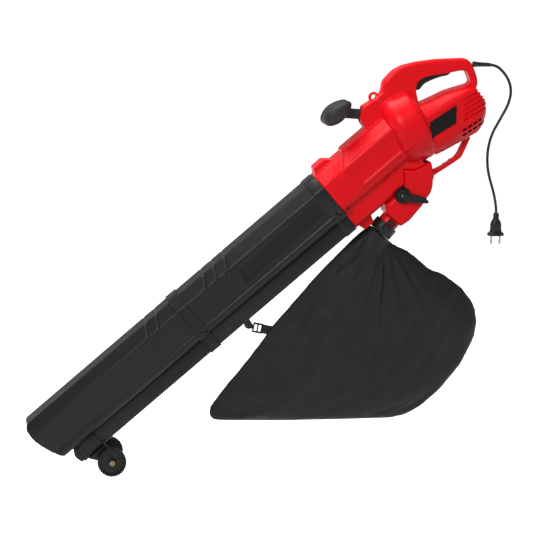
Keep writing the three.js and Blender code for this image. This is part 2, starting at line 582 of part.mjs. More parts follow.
// ---------- switch gear in the rear handle ----------
const SWITCH = { u0: 304, v0: 98, u1: 330, v1: 107, half: 7 };
function controls() {
  const hole = slab(disc(TRIGGER.u, TRIGGER.v, TRIGGER.pin + GAP, 12), -FAR_OUT, FAR_OUT);
  const body = slab(triggerOutline, -TRIGGER.half, TRIGGER.half, { size: 1.5, thick: 1.5, steps: 1 });
  piece(machine, "trigger", body.subtract(hole), BLACK);
  piece(machine, "trigger_pin", aboutY(TRIGGER.u, TRIGGER.v, rod(TRIGGER.pin, -15, 15), 12), STEEL);
  const springFoot = 91.5;
  const spring = new THREE.LatheGeometry(
    pipe(3, 4.2, springFoot, springFoot + 24).map(([r, h]) => new THREE.Vector2(r, h)), 16);
  spring.rotateX(Math.PI / 2).translate(299, 0, 0);
  piece(machine, "trigger_spring", solid(spring), STEEL);
  piece(machine, "power_switch",
    slab(box2(SWITCH.u0, SWITCH.v0, SWITCH.u1, SWITCH.v1), -SWITCH.half, SWITCH.half), BLACK);
  piece(machine, "capacitor", slab(disc(275, 112, 7, 20), -9, 9), SOFT_BLACK);
}

// ---------- front auxiliary handle ----------
function auxHandle() {
  const g = AUX_GRIP;
  const along = new THREE.Vector2(g.u - AUX.u, g.v - AUX.v).normalize();
  const side = new THREE.Vector2(-along.y, along.x).multiplyScalar(10.5);
  const corner = (u, v, k) => [u + side.x * k, v + side.y * k];
  const armSlab = (past, half) => {
    const end = [g.u + along.x * past, g.v + along.y * past];
    return slab([corner(AUX.u, AUX.v, -1), corner(AUX.u, AUX.v, 1), corner(...end, 1), corner(...end, -1)],
      -half, half);
  };
  const boss = slab(disc(AUX.u, AUX.v, AUX.bossRadius), -AUX.armHalf, AUX.armHalf);
  const coreHalf = g.half - 12;
  const core = aboutY(g.u, g.v, rod(g.core, -coreHalf, coreHalf), 24);
  const boltHole = slab(disc(AUX.u, AUX.v, AUX.bolt + GAP, 16), -FAR_OUT, FAR_OUT);
  piece(machine, "aux_arm", joined(armSlab(0, AUX.armHalf), boss, core).subtract(boltHole), BLACK);
  // An oval knob: a turned form, stretched along u.
  const waist = g.radius - 1.5;
  const knob = turned([
    [0, -g.half], [7, -g.half], [13, -g.half + 4], [g.radius, -g.half + 16], [waist, -10], [waist, 10],
    [g.radius, g.half - 16], [13, g.half - 4], [7, g.half], [0, g.half],
  ], 28).scale(g.stretch, 1, 1).translate(g.u, 0, g.v);
  const coreRoom = aboutY(g.u, g.v, rod(g.core + GAP, -coreHalf - GAP, coreHalf + GAP), 24);
  piece(machine, "aux_grip", cutBy(solid(knob), coreRoom, armSlab(1, AUX.armHalf + GAP)), SOFT_BLACK);
  piece(machine, "aux_pivot_bolt", aboutY(AUX.u, AUX.v, rod(AUX.bolt, -AUX.boltHalf, AUX.boltHalf), 20), STEEL);
}

// ---------- wheels under the end of the blow tube ----------
function wheels() {
  const band = run(grown(blowSection, GAP + BRACKET.proud), BRACKET.from, BRACKET.to)
    .subtract(run(grown(blowSection, GAP), BRACKET.from - 1, BRACKET.to + 1))
    .subtract(slab(box2(BRACKET.from - 2, BRACKET.top, BRACKET.to + 2, BRACKET.top + 60), -FAR_OUT, FAR_OUT));
  const bottom = BLOW_TOP - BLOW.height - GAP;
  const legOutline = [
    [BRACKET.from + 8, bottom - 1], [WHEEL.u - 9, WHEEL.v + 2], [WHEEL.u - 6, WHEEL.v - 8],
    [WHEEL.u + 6, WHEEL.v - 8], [WHEEL.u + 9, WHEEL.v + 2], [BRACKET.to + 2, bottom - 1],
  ];
  const legs = joined(
    slab(legOutline, -BRACKET.half, -BRACKET.half + 12), slab(legOutline, BRACKET.half - 12, BRACKET.half),
  );
  const axleHole = slab(disc(WHEEL.u, WHEEL.v, WHEEL.axle + GAP, 20), -FAR_OUT, FAR_OUT);
  piece(machine, "wheel_bracket", joined(band, legs).subtract(axleHole), BLACK);
  const end = WHEEL.inner + WHEEL.width;
  piece(machine, "wheel_axle", aboutY(WHEEL.u, WHEEL.v, rod(WHEEL.axle, -end - 0.5, end + 0.5), 20), STEEL);
  [["near", -1], ["far", 1]].forEach(([name, side]) => {
    piece(machine, "wheel_" + name, wheel(side), BLACK);
    const head = [side * (end + 0.5 + GAP), side * (end + 4)].sort((a, b) => a - b);
    piece(machine, "wheel_screw_" + name, aboutY(WHEEL.u, WHEEL.v, rod(6.5, head[0], head[1]), 20), BRASS);
  });
}

function wheel(side) {
  const y0 = WHEEL.inner;
  const y1 = WHEEL.inner + WHEEL.width;
  const { radius: r, hub, axle } = WHEEL;
  const rim = r - 6;
  const profile = [
    [axle + GAP, y0], [hub, y0], [hub, y0 + 5], [rim, y0 + 5], [rim, y0 + 1], [r - 2, y0], [r, y0 + 2],
    [r, y1 - 2], [r - 2, y1], [rim, y1], [rim, y1 - 5], [hub, y1 - 5], [hub, y1], [axle + GAP, y1],
    [axle + GAP, y0],
  ];
  const ribs = Array.from({ length: 4 }, (_, i) => {
    const angle = Math.PI / 4 + (i * Math.PI) / 2;
    const point = (radius, across) => [
      WHEEL.u + radius * Math.cos(angle) - across * Math.sin(angle),
      WHEEL.v + radius * Math.sin(angle) + across * Math.cos(angle),
    ];
    const middle = (hub + rim) / 2;
    return slab([point(hub - 1, -3.5), point(middle, -2), point(rim + 1, -3.5), point(rim + 1, 3.5),
      point(middle, 2), point(hub - 1, 3.5)], y1 - 6, y1 - 3);
  });
  const turnedWheel = joined(aboutY(WHEEL.u, WHEEL.v, profile, 28), ...ribs);
  return side > 0 ? turnedWheel : turnedWheel.mirror([0, 1, 0]);
}

// ---------- bag, its collar on the spout, and its strap ----------
function bagCollar() {
  const inner = SPOUT.radius + GAP + 0.4;
  const outer = inner + BAG_COLLAR.wall;
  const from = BAG_COLLAR.lip - BAG_COLLAR.length;
  const shell = aboutX([
    [inner, from], [outer, from], [outer, BAG_COLLAR.lip], [SPOUT.bore, BAG_COLLAR.lip],
    [SPOUT.bore, GAP + 0.2], [inner, GAP + 0.2], [inner, from],
  ], 32);
  const pad = slab(box2(LATCH.pivot - 1, -9, LATCH.pivot + 1, 9), -outer - 2, -outer + 4);
  const room = aboutX(rod(inner, from - 1, GAP), 32);
  piece(spoutGroup, "bag_collar", joined(shell, pad.subtract(room)), BLACK);
  const latchFace = -outer - 2 - GAP;
  const claw = LATCH.pivot - LATCH.claw;
  const latch = slab(rounded(box2(claw, -9, LATCH.pivot + LATCH.tail, 9), 3, 2), latchFace - 4, latchFace)
    .subtract(slab(box2(claw + 5, -4, claw + 13, 4), -FAR_OUT, FAR_OUT));
  piece(spoutGroup, "bag_latch", latch, BLACK);
}

// Outline of the hanging bag in the part's frame, x and z, from the neck clockwise to the left.
const bagOutline = [
  [-66, -388], [-38, -391], [-14, -410], [17, -437], [45, -446], [89, -478], [117, -514], [127, -555],
  [119, -594], [92, -650], [45, -707], [4, -743], [-28, -761], [-61, -768.5], [-170, -769], [-304, -769],
  [-458, -766], [-468, -753], [-467, -738], [-439, -699], [-394, -645], [-352, -590], [-333, -561],
  [-285, -506], [-228, -440], [-186, -398], [-150, -385],
];
const BAG_CENTRE = [-150, -610];
const BAG_HALF = 45;
const BAG_RINGS = [1, 0.985, 0.93, 0.8, 0.6, 0.35];

// A closed form over an outline, fattest at its centre and thin at its edge.
function pillow(outline, centre, half) {
  const count = outline.length;
  const positions = [];
  const index = [];
  const ring = (scale, y) => {
    const first = positions.length / 3;
    outline.forEach(([x, z]) => positions.push(
      centre[0] + (x - centre[0]) * scale, y, centre[1] + (z - centre[1]) * scale));
    return first;
  };
  const depth = (scale) => half * (1 - scale ** 3) ** 0.6;
  const rims = [
    ...BAG_RINGS.slice(1).reverse().map((s) => ring(s, -depth(s))), ring(1, 0),
    ...BAG_RINGS.slice(1).map((s) => ring(s, depth(s))),
  ];
  rims.slice(1).forEach((next, k) => {
    const last = rims[k];
    for (let i = 0; i < count; i++) {
      const j = (i + 1) % count;
      index.push(last + i, last + j, next + j, last + i, next + j, next + i);
    }
  });
  const pole = (rim, y, flip) => {
    const top = positions.length / 3;
    positions.push(centre[0], y, centre[1]);
    for (let i = 0; i < count; i++) {
      const j = (i + 1) % count;
      index.push(...(flip ? [top, rim + j, rim + i] : [top, rim + i, rim + j]));
    }
  };
  pole(rims[0], -half, true);
  pole(rims.at(-1), half, false);
  const geometry = new THREE.BufferGeometry()
    .setAttribute("position", new THREE.BufferAttribute(new Float32Array(positions), 3)).setIndex(index);
  const made = solid(geometry);
  return made.volume() < 0 ? flipped(geometry) : made;
}
function flipped(geometry) {
  const turnedOver = geometry.clone();
  const old = [...geometry.index.array];
  turnedOver.setIndex(old.map((_, i) => old[i - (i % 3) + (2 - (i % 3))]));
  return solid(turnedOver);
}

function spoutInWorld() {
  return new THREE.Matrix4().multiplyMatrices(machineMatrix(), SPOUT_FRAME);
}

function bag() {
  const neck = aboutX(
    [[0, BAG_COLLAR.lip + GAP], [SPOUT.radius + 2, BAG_COLLAR.lip + GAP], [SPOUT.radius + 16, 36],
      [SPOUT.radius + 20, 62], [0, 62]],
    24, spoutInWorld());
  piece(blower, "bag", joined(pillow(bagOutline, BAG_CENTRE, BAG_HALF), neck), FABRIC);
}

const BUCKLE = { length: 22, width: 22, half: 1.6 };
const STRAP = { length: 30, width: 20, half: 0.9 };
function strapParts() {
  // The lug stands under the blow tube and carries a peg across its two cheeks.
  const foot = BLOW_TOP - BLOW.height - GAP;
  const cheek = [[PEG.u - 5, foot], [PEG.u - 5, PEG.v - 5], [PEG.u + 7, PEG.v - 5], [PEG.u + 9, foot]];
  const lug = joined(
    slab(box2(PEG.u - 8, foot - 2.5, PEG.u + 12, foot), -11, 11),
    slab(cheek, 7, 11), slab(cheek, -11, -7),
    aboutY(PEG.u, PEG.v, rod(PEG.radius, -9, 9), 16),
  );
  piece(machine, "hook_lug", lug, BLACK);
  const arc = (radius, from, to, steps) =>
    Array.from({ length: steps + 1 }, (_, i) => {
      const angle = THREE.MathUtils.degToRad(from + ((to - from) * i) / steps);
      return [PEG.u + radius * Math.cos(angle), PEG.v + radius * Math.sin(angle)];
    });
  const strapAngle = THREE.MathUtils.degToRad(-52);
  const bow = slab([...arc(HOOK.outer, 80, 275, 10), [PEG.u + 2, PEG.v - HOOK.inner],
    ...arc(HOOK.inner, 268, 80, 8)], -HOOK.half, HOOK.half);
  const down = new THREE.Vector2(Math.cos(strapAngle), Math.sin(strapAngle));
  const across = new THREE.Vector2(-down.y, down.x);
  const at = (d, w) => [PEG.u - 4 + down.x * d + across.x * w, PEG.v - 2 + down.y * d + across.y * w];
  const quad = (d0, d1, w) => [at(d0, -w), at(d1, -w), at(d1, w), at(d0, w)];
  const start = 11;
  const shank = slab(quad(6, start, 4), -2.5, 2.5);
  piece(machine, "bag_hook", joined(bow, shank), BLACK);
  const frame = slab(quad(start + GAP, start + BUCKLE.length, BUCKLE.width / 2), -BUCKLE.half, BUCKLE.half);
  const slots = [3.5, 12.5].map((d) =>
    slab(quad(start + d, start + d + 6, BUCKLE.width / 2 - 4), -FAR_OUT, FAR_OUT));
  piece(machine, "strap_buckle", cutBy(frame, ...slots), BLACK);
  const strapFrom = start + BUCKLE.length + GAP;
  piece(machine, "bag_strap",
    slab(quad(strapFrom, strapFrom + STRAP.length, STRAP.width / 2), -STRAP.half, STRAP.half)
      .subtract(bagInTubeFrame()), FABRIC);
}
function bagInTubeFrame() {
  const back = new THREE.Matrix4().copy(machineMatrix()).invert();
  const grownOutline = grown([...bagOutline].reverse(), 1).reverse();
  return pillow(grownOutline, BAG_CENTRE, BAG_HALF + 1).transform([...back.elements]);
}

// ---------- screws that the outside shows ----------
function screws() {
  const screw = (name, { u, v }, y, radius) =>
    piece(machine, name, aboutY(u, v, rod(radius, y - 2, y), 16), DARK_STEEL);
  screw("collar_screw", COLLAR.screw, -bandFace(COLLAR.proud) - GAP, 4);
  screw("band_screw", BAND.screw, -bandFace(BAND.proud) - GAP, 4);
  screw("shell_screw", SHELL_SCREW, SHELL_SCREW.seat - GAP, SHELL_SCREW.head);
}

// ---------- mains lead ----------
// The lead hangs from the handle's end. Its route's points, x and z in the part's frame.
const cordRoute = [
  [140.5, 5.2], [148, 3.4], [156.2, -0.4], [163.9, -7], [172.8, -17.4], [180.2, -30.6], [184.1, -43.9],
  [184.6, -57.7], [182, -71.6], [176.9, -85.6], [170.2, -98.5], [162.9, -112], [155.4, -125.5],
  [148.5, -139], [142.9, -154.5], [139.1, -171.4], [137.4, -188.4], [137.5, -205.4], [139.4, -221.4],
  [143.2, -238.4], [148.6, -256.4], [153.6, -273.4], [157.4, -290.5], [159.5, -303.6], [160.3, -314.6],
];
function cord() {
  const guard = solid(turned([
    [0, -GUARD_STUB.length], [GUARD_STUB.radius, -GUARD_STUB.length], [GUARD_STUB.radius, GUARD_STUB.clear],
    [GUARD.root, GUARD_STUB.clear], [GUARD.root, GUARD_STUB.clear + 4], [GUARD.root - 1.5, GUARD_STUB.clear + 7],
    [GUARD.tip, GUARD.length], [0, GUARD.length],
  ], 20).rotateZ(-Math.PI / 2), guardMatrix());
  piece(blower, "cord_guard", guard, BLACK);
  const curve = new THREE.CatmullRomCurve3(cordRoute.map(([x, z]) => new THREE.Vector3(x, 0, z)));
  const section = new THREE.Shape(disc(0, 0, CORD.radius, 8).map(([x, y]) => new THREE.Vector2(x, y)));
  const tube = new THREE.ExtrudeGeometry(section, { steps: 36, extrudePath: curve, bevelEnabled: false });
  piece(blower, "power_cord", solid(tube), BLACK);
}

function plug() {
  const [x, top] = cordRoute.at(-1);
  const z0 = top - GAP - 0.4;
  const z1 = z0 - PLUG.height;
  const group = new THREE.Group();
  group.position.set(x, 0, 0);
  blower.add(group);
  const profile = [
    [0, z1], [PLUG.flange - 1, z1], [PLUG.flange, z1 + 1], [PLUG.flange, z1 + 5], [PLUG.flange - 4, z1 + 8],
    [13, z1 + 12], [12, z1 + 26], [8, z1 + 36], [PLUG.neck, z1 + 40], [PLUG.neck, z0], [0, z0],
  ];
  const upright = (points, sides) => turned(points, sides).rotateX(Math.PI / 2);
  piece(group, "plug_body", solid(upright(profile, 28)), BLACK);
  [["plug_pin_a", -1], ["plug_pin_b", 1]].forEach(([name, side]) => {
    const r = PLUG.pin;
    const z2 = z1 - GAP - PLUG.pinLength;
    const pin = upright([[0, z2], [r - 1, z2], [r, z2 + 1.5], [r, z1 - GAP], [0, z1 - GAP]], 14);
    piece(group, name, solid(pin.translate((side * PLUG.pinSpacing) / 2, 0, 0)), STEEL);
  });
}

tubes();
bands();
housing();
diverter();
changeover();
motor();
controls();
auxHandle();
wheels();
bagCollar();
bag();
strapParts();
screws();
cord();
plug();

export default blower;
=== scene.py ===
"""Leaf blower and garden vacuum: the looks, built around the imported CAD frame.

Pieces of the machine are drawn in millimetres in a tube frame: u along the tubes towards the
rear, y across (negative is the near side), v square to the tubes, upwards. TUBE takes that to the
row frame in metres. Motor and spout parts have their own axis along local x. The bag, the cord
and the plug are drawn in the row frame.
"""
import math

import bmesh
import bpy
import numpy as np
from mathutils import Matrix, Vector


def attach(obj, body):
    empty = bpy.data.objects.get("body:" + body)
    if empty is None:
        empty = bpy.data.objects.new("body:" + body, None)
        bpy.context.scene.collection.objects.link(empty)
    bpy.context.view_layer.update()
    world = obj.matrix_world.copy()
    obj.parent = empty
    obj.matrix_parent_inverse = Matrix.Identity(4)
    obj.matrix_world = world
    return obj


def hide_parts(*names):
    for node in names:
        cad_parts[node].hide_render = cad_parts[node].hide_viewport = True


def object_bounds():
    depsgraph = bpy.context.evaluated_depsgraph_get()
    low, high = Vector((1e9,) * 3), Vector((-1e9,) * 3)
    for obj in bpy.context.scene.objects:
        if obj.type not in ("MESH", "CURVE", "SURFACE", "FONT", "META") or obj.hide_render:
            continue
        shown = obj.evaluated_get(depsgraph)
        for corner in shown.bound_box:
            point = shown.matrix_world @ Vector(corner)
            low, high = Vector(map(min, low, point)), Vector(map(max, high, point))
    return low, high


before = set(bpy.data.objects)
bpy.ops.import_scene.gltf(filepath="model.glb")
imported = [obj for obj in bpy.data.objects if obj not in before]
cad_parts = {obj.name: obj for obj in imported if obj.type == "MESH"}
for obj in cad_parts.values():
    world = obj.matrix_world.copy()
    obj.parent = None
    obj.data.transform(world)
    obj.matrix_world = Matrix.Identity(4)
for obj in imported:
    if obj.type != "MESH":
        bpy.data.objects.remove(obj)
CAD_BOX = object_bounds()

# ---------- frames ----------
MM = 0.001
TILT = math.radians(40.5)
GRIP_CENTRE = Vector((338, 0, 93))
WORLD = Matrix.Scale(MM, 4)
TUBE = WORLD @ Matrix.Rotation(-TILT, 4, "Y") @ Matrix.Translation(-GRIP_CENTRE)
MOTOR = Matrix.Translation((219, 0, 22.5)) @ Matrix.Rotation(math.radians(14.5), 4, "Y")
SPOUT = Matrix.Translation((36, 0, -114)) @ Matrix.Rotation(math.pi - math.radians(8.7), 4, "Y")

# ---------- driving sizes, as in the frame ----------
GAP = 0.3
WALL = 3
FAR_OUT = 400
TUBE_MOUTH, TUBE_JOINT = -815, -396
RING_RADIUS, RING_FRONT, RING_REAR = 79.5, -38, 38
HANDLE_HALF = 19
DIVERTER_HALF = 38.5
TRIGGER_HALF, TRIGGER_PIVOT_U, TRIGGER_PIVOT_V = 9, 371, 60
LEVER_U, LEVER_V = 120, -77
WHEEL_U, WHEEL_V, WHEEL_RADIUS, WHEEL_INNER, WHEEL_WIDTH = -723, -104.5, 31, 43, 17
AUX_U, AUX_V, AUX_GRIP_U, AUX_GRIP_V, AUX_GRIP_HALF, AUX_STRETCH = 170, 104, 126, 147.5, 44, 1.9
SHELL_SCREW_U, SHELL_SCREW_V, SHELL_SCREW_SEAT = 11.5, -17.5, -50.2
CORD_EXIT = (0.0955, 0, 0.007)
CORD_HEADING = Vector((44, 0, -1.5)).normalized()
CORD_DIAMETER = 0.0062


# ---------- outlines ----------
def area_of(points):
    p = np.array(points, float)
    q = np.roll(p, -1, axis=0)
    return float((p[:, 0] * q[:, 1] - q[:, 0] * p[:, 1]).sum() / 2)


def grown(points, distance):
    """Moves each edge of an outline outwards by a distance."""
    p = np.array(points if area_of(points) > 0 else points[::-1], float)
    before = p - np.roll(p, 1, axis=0)
    after = np.roll(p, -1, axis=0) - p
    normals = []
    for edge in (before, after):
        edge = edge / np.linalg.norm(edge, axis=1)[:, None]
        normals.append(np.stack([edge[:, 1], -edge[:, 0]], axis=1))
    share = distance / np.maximum(1 + (normals[0] * normals[1]).sum(1), 0.4)
    return (p + (normals[0] + normals[1]) * share[:, None]).tolist()


def rounded(points, radius, steps=4):
    """Rounds each corner of an outline."""
    count = len(points)
    result = []
    for i, point in enumerate(points):
        p = Vector(point)
        ends = []
        for other in (points[i - 1], points[(i + 1) % count]):
            way = Vector(other) - p
            ends.append(p + way * (min(radius, way.length * 0.45) / way.length))
        for k in range(steps + 1):
            t = k / steps
            result.append(tuple((1 - t) ** 2 * ends[0] + 2 * t * (1 - t) * p + t * t * ends[1]))
    return result


def resampled(points, step):
    """An outline with no edge longer than a step."""
    result = []
    for a, b in zip(points, points[1:] + points[:1]):
        pieces = max(1, math.ceil(math.dist(a, b) / step))
        result += [tuple(Vector(a).lerp(Vector(b), k / pieces)) for k in range(pieces)]
    return result


def mirrored(half):
    return half + [(-y, v) for y, v in reversed(half)]


def box2(x0, y0, x1, y1):
    return [(x0, y0), (x1, y0), (x1, y1), (x0, y1)]


def disc(x, y, radius, sides=48):
    turn = 2 * math.pi / sides
    return [(x + radius * math.cos(i * turn), y + radius * math.sin(i * turn)) for i in range(sides)]


# ---------- meshes ----------
def link(name, verts, faces):
    mesh = bpy.data.meshes.new(name)
    mesh.from_pydata([tuple(v) for v in verts], [], faces)
    obj = bpy.data.objects.new(name, mesh)
    bpy.context.scene.collection.objects.link(obj)
    form = bmesh.new()
    form.from_mesh(mesh)
    bmesh.ops.remove_doubles(form, verts=form.verts, dist=1e-4)
    bmesh.ops.recalc_face_normals(form, faces=form.faces)
    form.to_mesh(mesh)
    form.free()
    return obj


def skin(name, rings, closed=False):
    """Joins rings of equally many points. A closed skin joins its last ring to its first."""
    count = len(rings[0])
    verts = [p for ring in rings for p in ring]
    faces = []
    for k in range(len(rings) if closed else len(rings) - 1):
        a, b = k * count, (k + 1) % len(rings) * count
        for i in range(count):
            j = (i + 1) % count
            faces.append((a + i, a + j, b + j, b + i))
    if not closed:
        faces += [tuple(range(count)), tuple(range((len(rings) - 1) * count, len(verts)))]
    return link(name, verts, faces)


def prism(outline, y0, y1, edge=0, depth=None, steps=3, name="prism"):
    """An outline in u and v, as thick as y0 to y1, with rounded rims."""
    depth = edge if depth is None else depth
    turns = [k / steps * math.pi / 2 for k in range(steps + 1)] if edge else [math.pi / 2]
    levels = [(edge * (1 - math.sin(t)), depth * (1 - math.cos(t))) for t in turns]
    if not edge:
        levels = [(0, 0)]
    rings = [[(u, y0 + d, v) for u, v in grown(outline, -inset)] for inset, d in levels]
    rings += [[(u, y1 - d, v) for u, v in grown(outline, -inset)] for inset, d in reversed(levels)]
    return skin(name, rings)


def run(section, u0, u1, edge=0, steps=3, name="run"):
    """A section in y and v that runs along u."""
    turns = [k / steps * math.pi / 2 for k in range(steps + 1)]
    levels = [(edge * (1 - math.sin(t)), edge * (1 - math.cos(t))) for t in turns] if edge else [(0, 0)]
    rings = [[(u0 + d, y, v) for y, v in grown(section, -inset)] for inset, d in levels]
    rings += [[(u1 - d, y, v) for y, v in grown(section, -inset)] for inset, d in reversed(levels)]
    return skin(name, rings)


def lathe(profile, sides=64, axis="x", at=(0, 0, 0), matrix=None, closed=False, wave=None, name="lathe"):
    """A profile of (radius, height) points turned about an axis. wave(angle) changes the radius."""
    rings = []
    for radius, height in profile:
        ring = []
        for i in range(sides):
            angle = 2 * math.pi * i / sides
            r = radius + (wave(angle, radius) if wave else 0)
            a, b = r * math.cos(angle), r * math.sin(angle)
            ring.append((height, a, b) if axis == "x" else (a, height, b) if axis == "y" else (a, b, height))
        rings.append(ring)
    obj = skin(name, rings, closed)
    obj.data.transform(Matrix.Translation(at))
    if matrix:
        obj.data.transform(matrix)
    return obj


def rod(radius, low, high, edge=0):
    if not edge:
        return [(0, low), (radius, low), (radius, high), (0, high)]
    turns = (0, math.pi / 6, math.pi / 3, math.pi / 2)
    arc = [(edge * (1 - math.sin(t)), edge * (1 - math.cos(t))) for t in turns]
    ends = [(radius - i, low + d) for i, d in arc], [(radius - i, high - d) for i, d in reversed(arc)]
    return [(0, low)] + ends[0] + ends[1] + [(0, high)]


def pipe(inner, outer, low, high, edge=0.6):
    e = edge
    return [
        (inner, low + e), (inner + e, low), (outer - e, low), (outer, low + e),
        (outer, high - e), (outer - e, high), (inner + e, high), (inner, high - e),
    ]


def sweep(points, radius, sides=16, name="sweep"):
    """A round bar along points, with flat ends."""
    way = [Vector(p) for p in points]
    rings = []
    normal = None
    for i, p in enumerate(way):
        ahead = (way[min(i + 1, len(way) - 1)] - way[max(i - 1, 0)]).normalized()
        if normal is None:
            normal = ahead.orthogonal().normalized()
        normal = (normal - ahead * normal.dot(ahead)).normalized()
        side = ahead.cross(normal)
        turn = 2 * math.pi / sides
        rings.append([tuple(p + (normal * math.cos(k * turn) + side * math.sin(k * turn)) * radius)
                      for k in range(sides)])
    return skin(name, rings)


def apply(obj):
    """Applies the modifiers of an object."""
    bpy.context.view_layer.update()
    graph = bpy.context.evaluated_depsgraph_get()
    made = bpy.data.meshes.new_from_object(obj.evaluated_get(graph))
    old = obj.data
    obj.modifiers.clear()
    obj.data = made
    bpy.data.meshes.remove(old)
    return obj


def remove(obj):
    mesh = obj.data
    bpy.data.objects.remove(obj)
    bpy.data.meshes.remove(mesh)


def boolean(obj, operation, others):
    for other in others:
        modifier = obj.modifiers.new("boolean", "BOOLEAN")
        modifier.operation = operation
        modifier.solver = "MANIFOLD"
        modifier.object = other
        apply(obj)
        remove(other)
    return obj


def cut(obj, *cutters):
    return boolean(obj, "DIFFERENCE", cutters)


def add(obj, *others):
    return boolean(obj, "UNION", others)


def copied(obj, name="copy"):
    twin = bpy.data.objects.new(name, obj.data.copy())
    bpy.context.scene.collection.objects.link(twin)
    return twin


def merged(*parts):
    """One mesh of several closed forms, which a voxel remesh then makes into one."""
    form = bmesh.new()
    for part in parts:
        form.from_mesh(part.data)
    form.to_mesh(parts[0].data)
    form.free()
    for part in parts[1:]:
        remove(part)
    return parts[0]


def remeshed(obj, voxel):
    modifier = obj.modifiers.new("remesh", "REMESH")
    modifier.mode = "VOXEL"
    modifier.voxel_size = voxel
    return apply(obj)


def smoothed(obj, repeat, factor=0.5):
    modifier = obj.modifiers.new("smooth", "SMOOTH")
    modifier.factor = factor
    modifier.iterations = repeat
    return apply(obj)


def bevelled(obj, width=0.5, segments=2, angle=30):
    """Rounds the sharp edges of a hard piece, after its flat faces are joined up."""
    tidy = obj.modifiers.new("tidy", "DECIMATE")
    tidy.decimate_type = "DISSOLVE"
    tidy.angle_limit = math.radians(0.5)
    bevel = obj.modifiers.new("bevel", "BEVEL")
    bevel.width = width
    bevel.segments = segments
    bevel.limit_method = "ANGLE"
    bevel.angle_limit = math.radians(angle)
    bevel.use_clamp_overlap = True
    return apply(obj)


def arrays(obj):
    """Vertex places and normals."""
    count = len(obj.data.vertices)
    places = np.empty(count * 3)
    normals = np.empty(count * 3)
    obj.data.vertices.foreach_get("co", places)
    obj.data.vertices.foreach_get("normal", normals)
    return places.reshape(-1, 3), normals.reshape(-1, 3)


def sculpted(obj, height):
    """Moves each vertex along its normal by height(u, y, v, normals)."""
    places, normals = arrays(obj)
    moved = places + normals * height(places[:, 0], places[:, 1], places[:, 2], normals)[:, None]
    obj.data.vertices.foreach_set("co", moved.ravel())
    obj.data.update()
    return obj


def smoothstep(low, high, value):
    t = np.clip((value - low) / (high - low), 0, 1)
    return t * t * (3 - 2 * t)


def depth_in(points, x, y):
    """Signed distance into an outline: positive inside it."""
    p = np.array(points, float)
    q = np.roll(p, -1, axis=0)
    nearest = np.full(x.shape, 1e9)
    inside = np.zeros(x.shape, bool)
    for (ax, ay), (bx, by) in zip(p, q):
        ex, ey = bx - ax, by - ay
        t = np.clip(((x - ax) * ex + (y - ay) * ey) / (ex * ex + ey * ey), 0, 1)
        nearest = np.minimum(nearest, np.hypot(x - ax - t * ex, y - ay - t * ey))
        if ay != by:
            crosses = ((ay > y) != (by > y)) & (x < ax + (y - ay) * ex / ey)
            inside ^= crosses
    return np.where(inside, nearest, -nearest)


def groove(x, y, a, b, width):
    """A round-bottomed groove of unit depth along the line from a to b."""
    (ax, ay), (bx, by) = a, b
    ex, ey = bx - ax, by - ay
    t = np.clip(((x - ax) * ex + (y - ay) * ey) / (ex * ex + ey * ey), 0, 1)
    gone = np.hypot(x - ax - t * ex, y - ay - t * ey)
    return np.exp(-((gone / (width / 2)) ** 2))


def shaded(obj, angle=32):
    obj.data.shade_smooth()
    obj.data.set_sharp_from_angle(angle=math.radians(angle))
    return obj


def placed(obj, name, body, slot, *nodes, matrix=TUBE, angle=32, finish=None):
    """Puts a finished piece in the row frame, with its material, on its body."""
    obj.name = name
    obj.data.name = name
    obj.data.transform(matrix)
    shaded(obj, angle)
    obj.data.materials.clear()
    obj.data.materials.append(finish or MATERIALS[slot])
    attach(obj, body)
    if nodes:
        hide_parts(*nodes)
    return obj


# ---------- materials ----------
def started(name, roughness, metallic=0.0, **sockets):
    material = bpy.data.materials.new(name)
    material.use_nodes = True
    shader = material.node_tree.nodes["Principled BSDF"]
    shader.inputs["Roughness"].default_value = roughness
    shader.inputs["Metallic"].default_value = metallic
    for socket, value in sockets.items():
        shader.inputs[socket.replace("_", " ")].default_value = value
    return material, material.node_tree, shader


def noise(tree, scale, detail=3.0, stretch=(1, 1, 1)):
    coordinates = tree.nodes.new("ShaderNodeTexCoord")
    mapping = tree.nodes.new("ShaderNodeMapping")
    mapping.inputs["Scale"].default_value = stretch
    texture = tree.nodes.new("ShaderNodeTexNoise")
    texture.inputs["Scale"].default_value = scale
    texture.inputs["Detail"].default_value = detail
    tree.links.new(coordinates.outputs["Object"], mapping.inputs["Vector"])
    tree.links.new(mapping.outputs["Vector"], texture.inputs["Vector"])
    return texture.outputs["Fac"]


def ramp(tree, source, low, high, stops=(0.3, 0.7)):
    node = tree.nodes.new("ShaderNodeValToRGB")
    for element, place, colour in zip(node.color_ramp.elements, stops, (low, high)):
        element.position = place
        element.color = (*colour, 1)
    tree.links.new(source, node.inputs["Fac"])
    return node.outputs["Color"]


def ranged(tree, source, low, high):
    node = tree.nodes.new("ShaderNodeMapRange")
    node.inputs["From Min"].default_value = 0.3
    node.inputs["From Max"].default_value = 0.7
    node.inputs["To Min"].default_value = low
    node.inputs["To Max"].default_value = high
    tree.links.new(source, node.inputs["Value"])
    return node.outputs["Result"]


def bumped(tree, shader, source, strength, distance, after=None):
    node = tree.nodes.new("ShaderNodeBump")
    node.inputs["Strength"].default_value = strength
    node.inputs["Distance"].default_value = distance
    tree.links.new(source, node.inputs["Height"])
    if after:
        tree.links.new(after, node.inputs["Normal"])
    tree.links.new(node.outputs["Normal"], shader.inputs["Normal"])
    return node.outputs["Normal"]


def tinted(colour, share):
    return tuple(min(1, c * share) for c in colour)


def coloured(tree, shader, source, colour, low, high, stops=(0.3, 0.7)):
    """Drives the colour from one shade to another by a source."""
    tree.links.new(ramp(tree, source, tinted(colour, low), tinted(colour, high), stops),
                   shader.inputs["Base Color"])


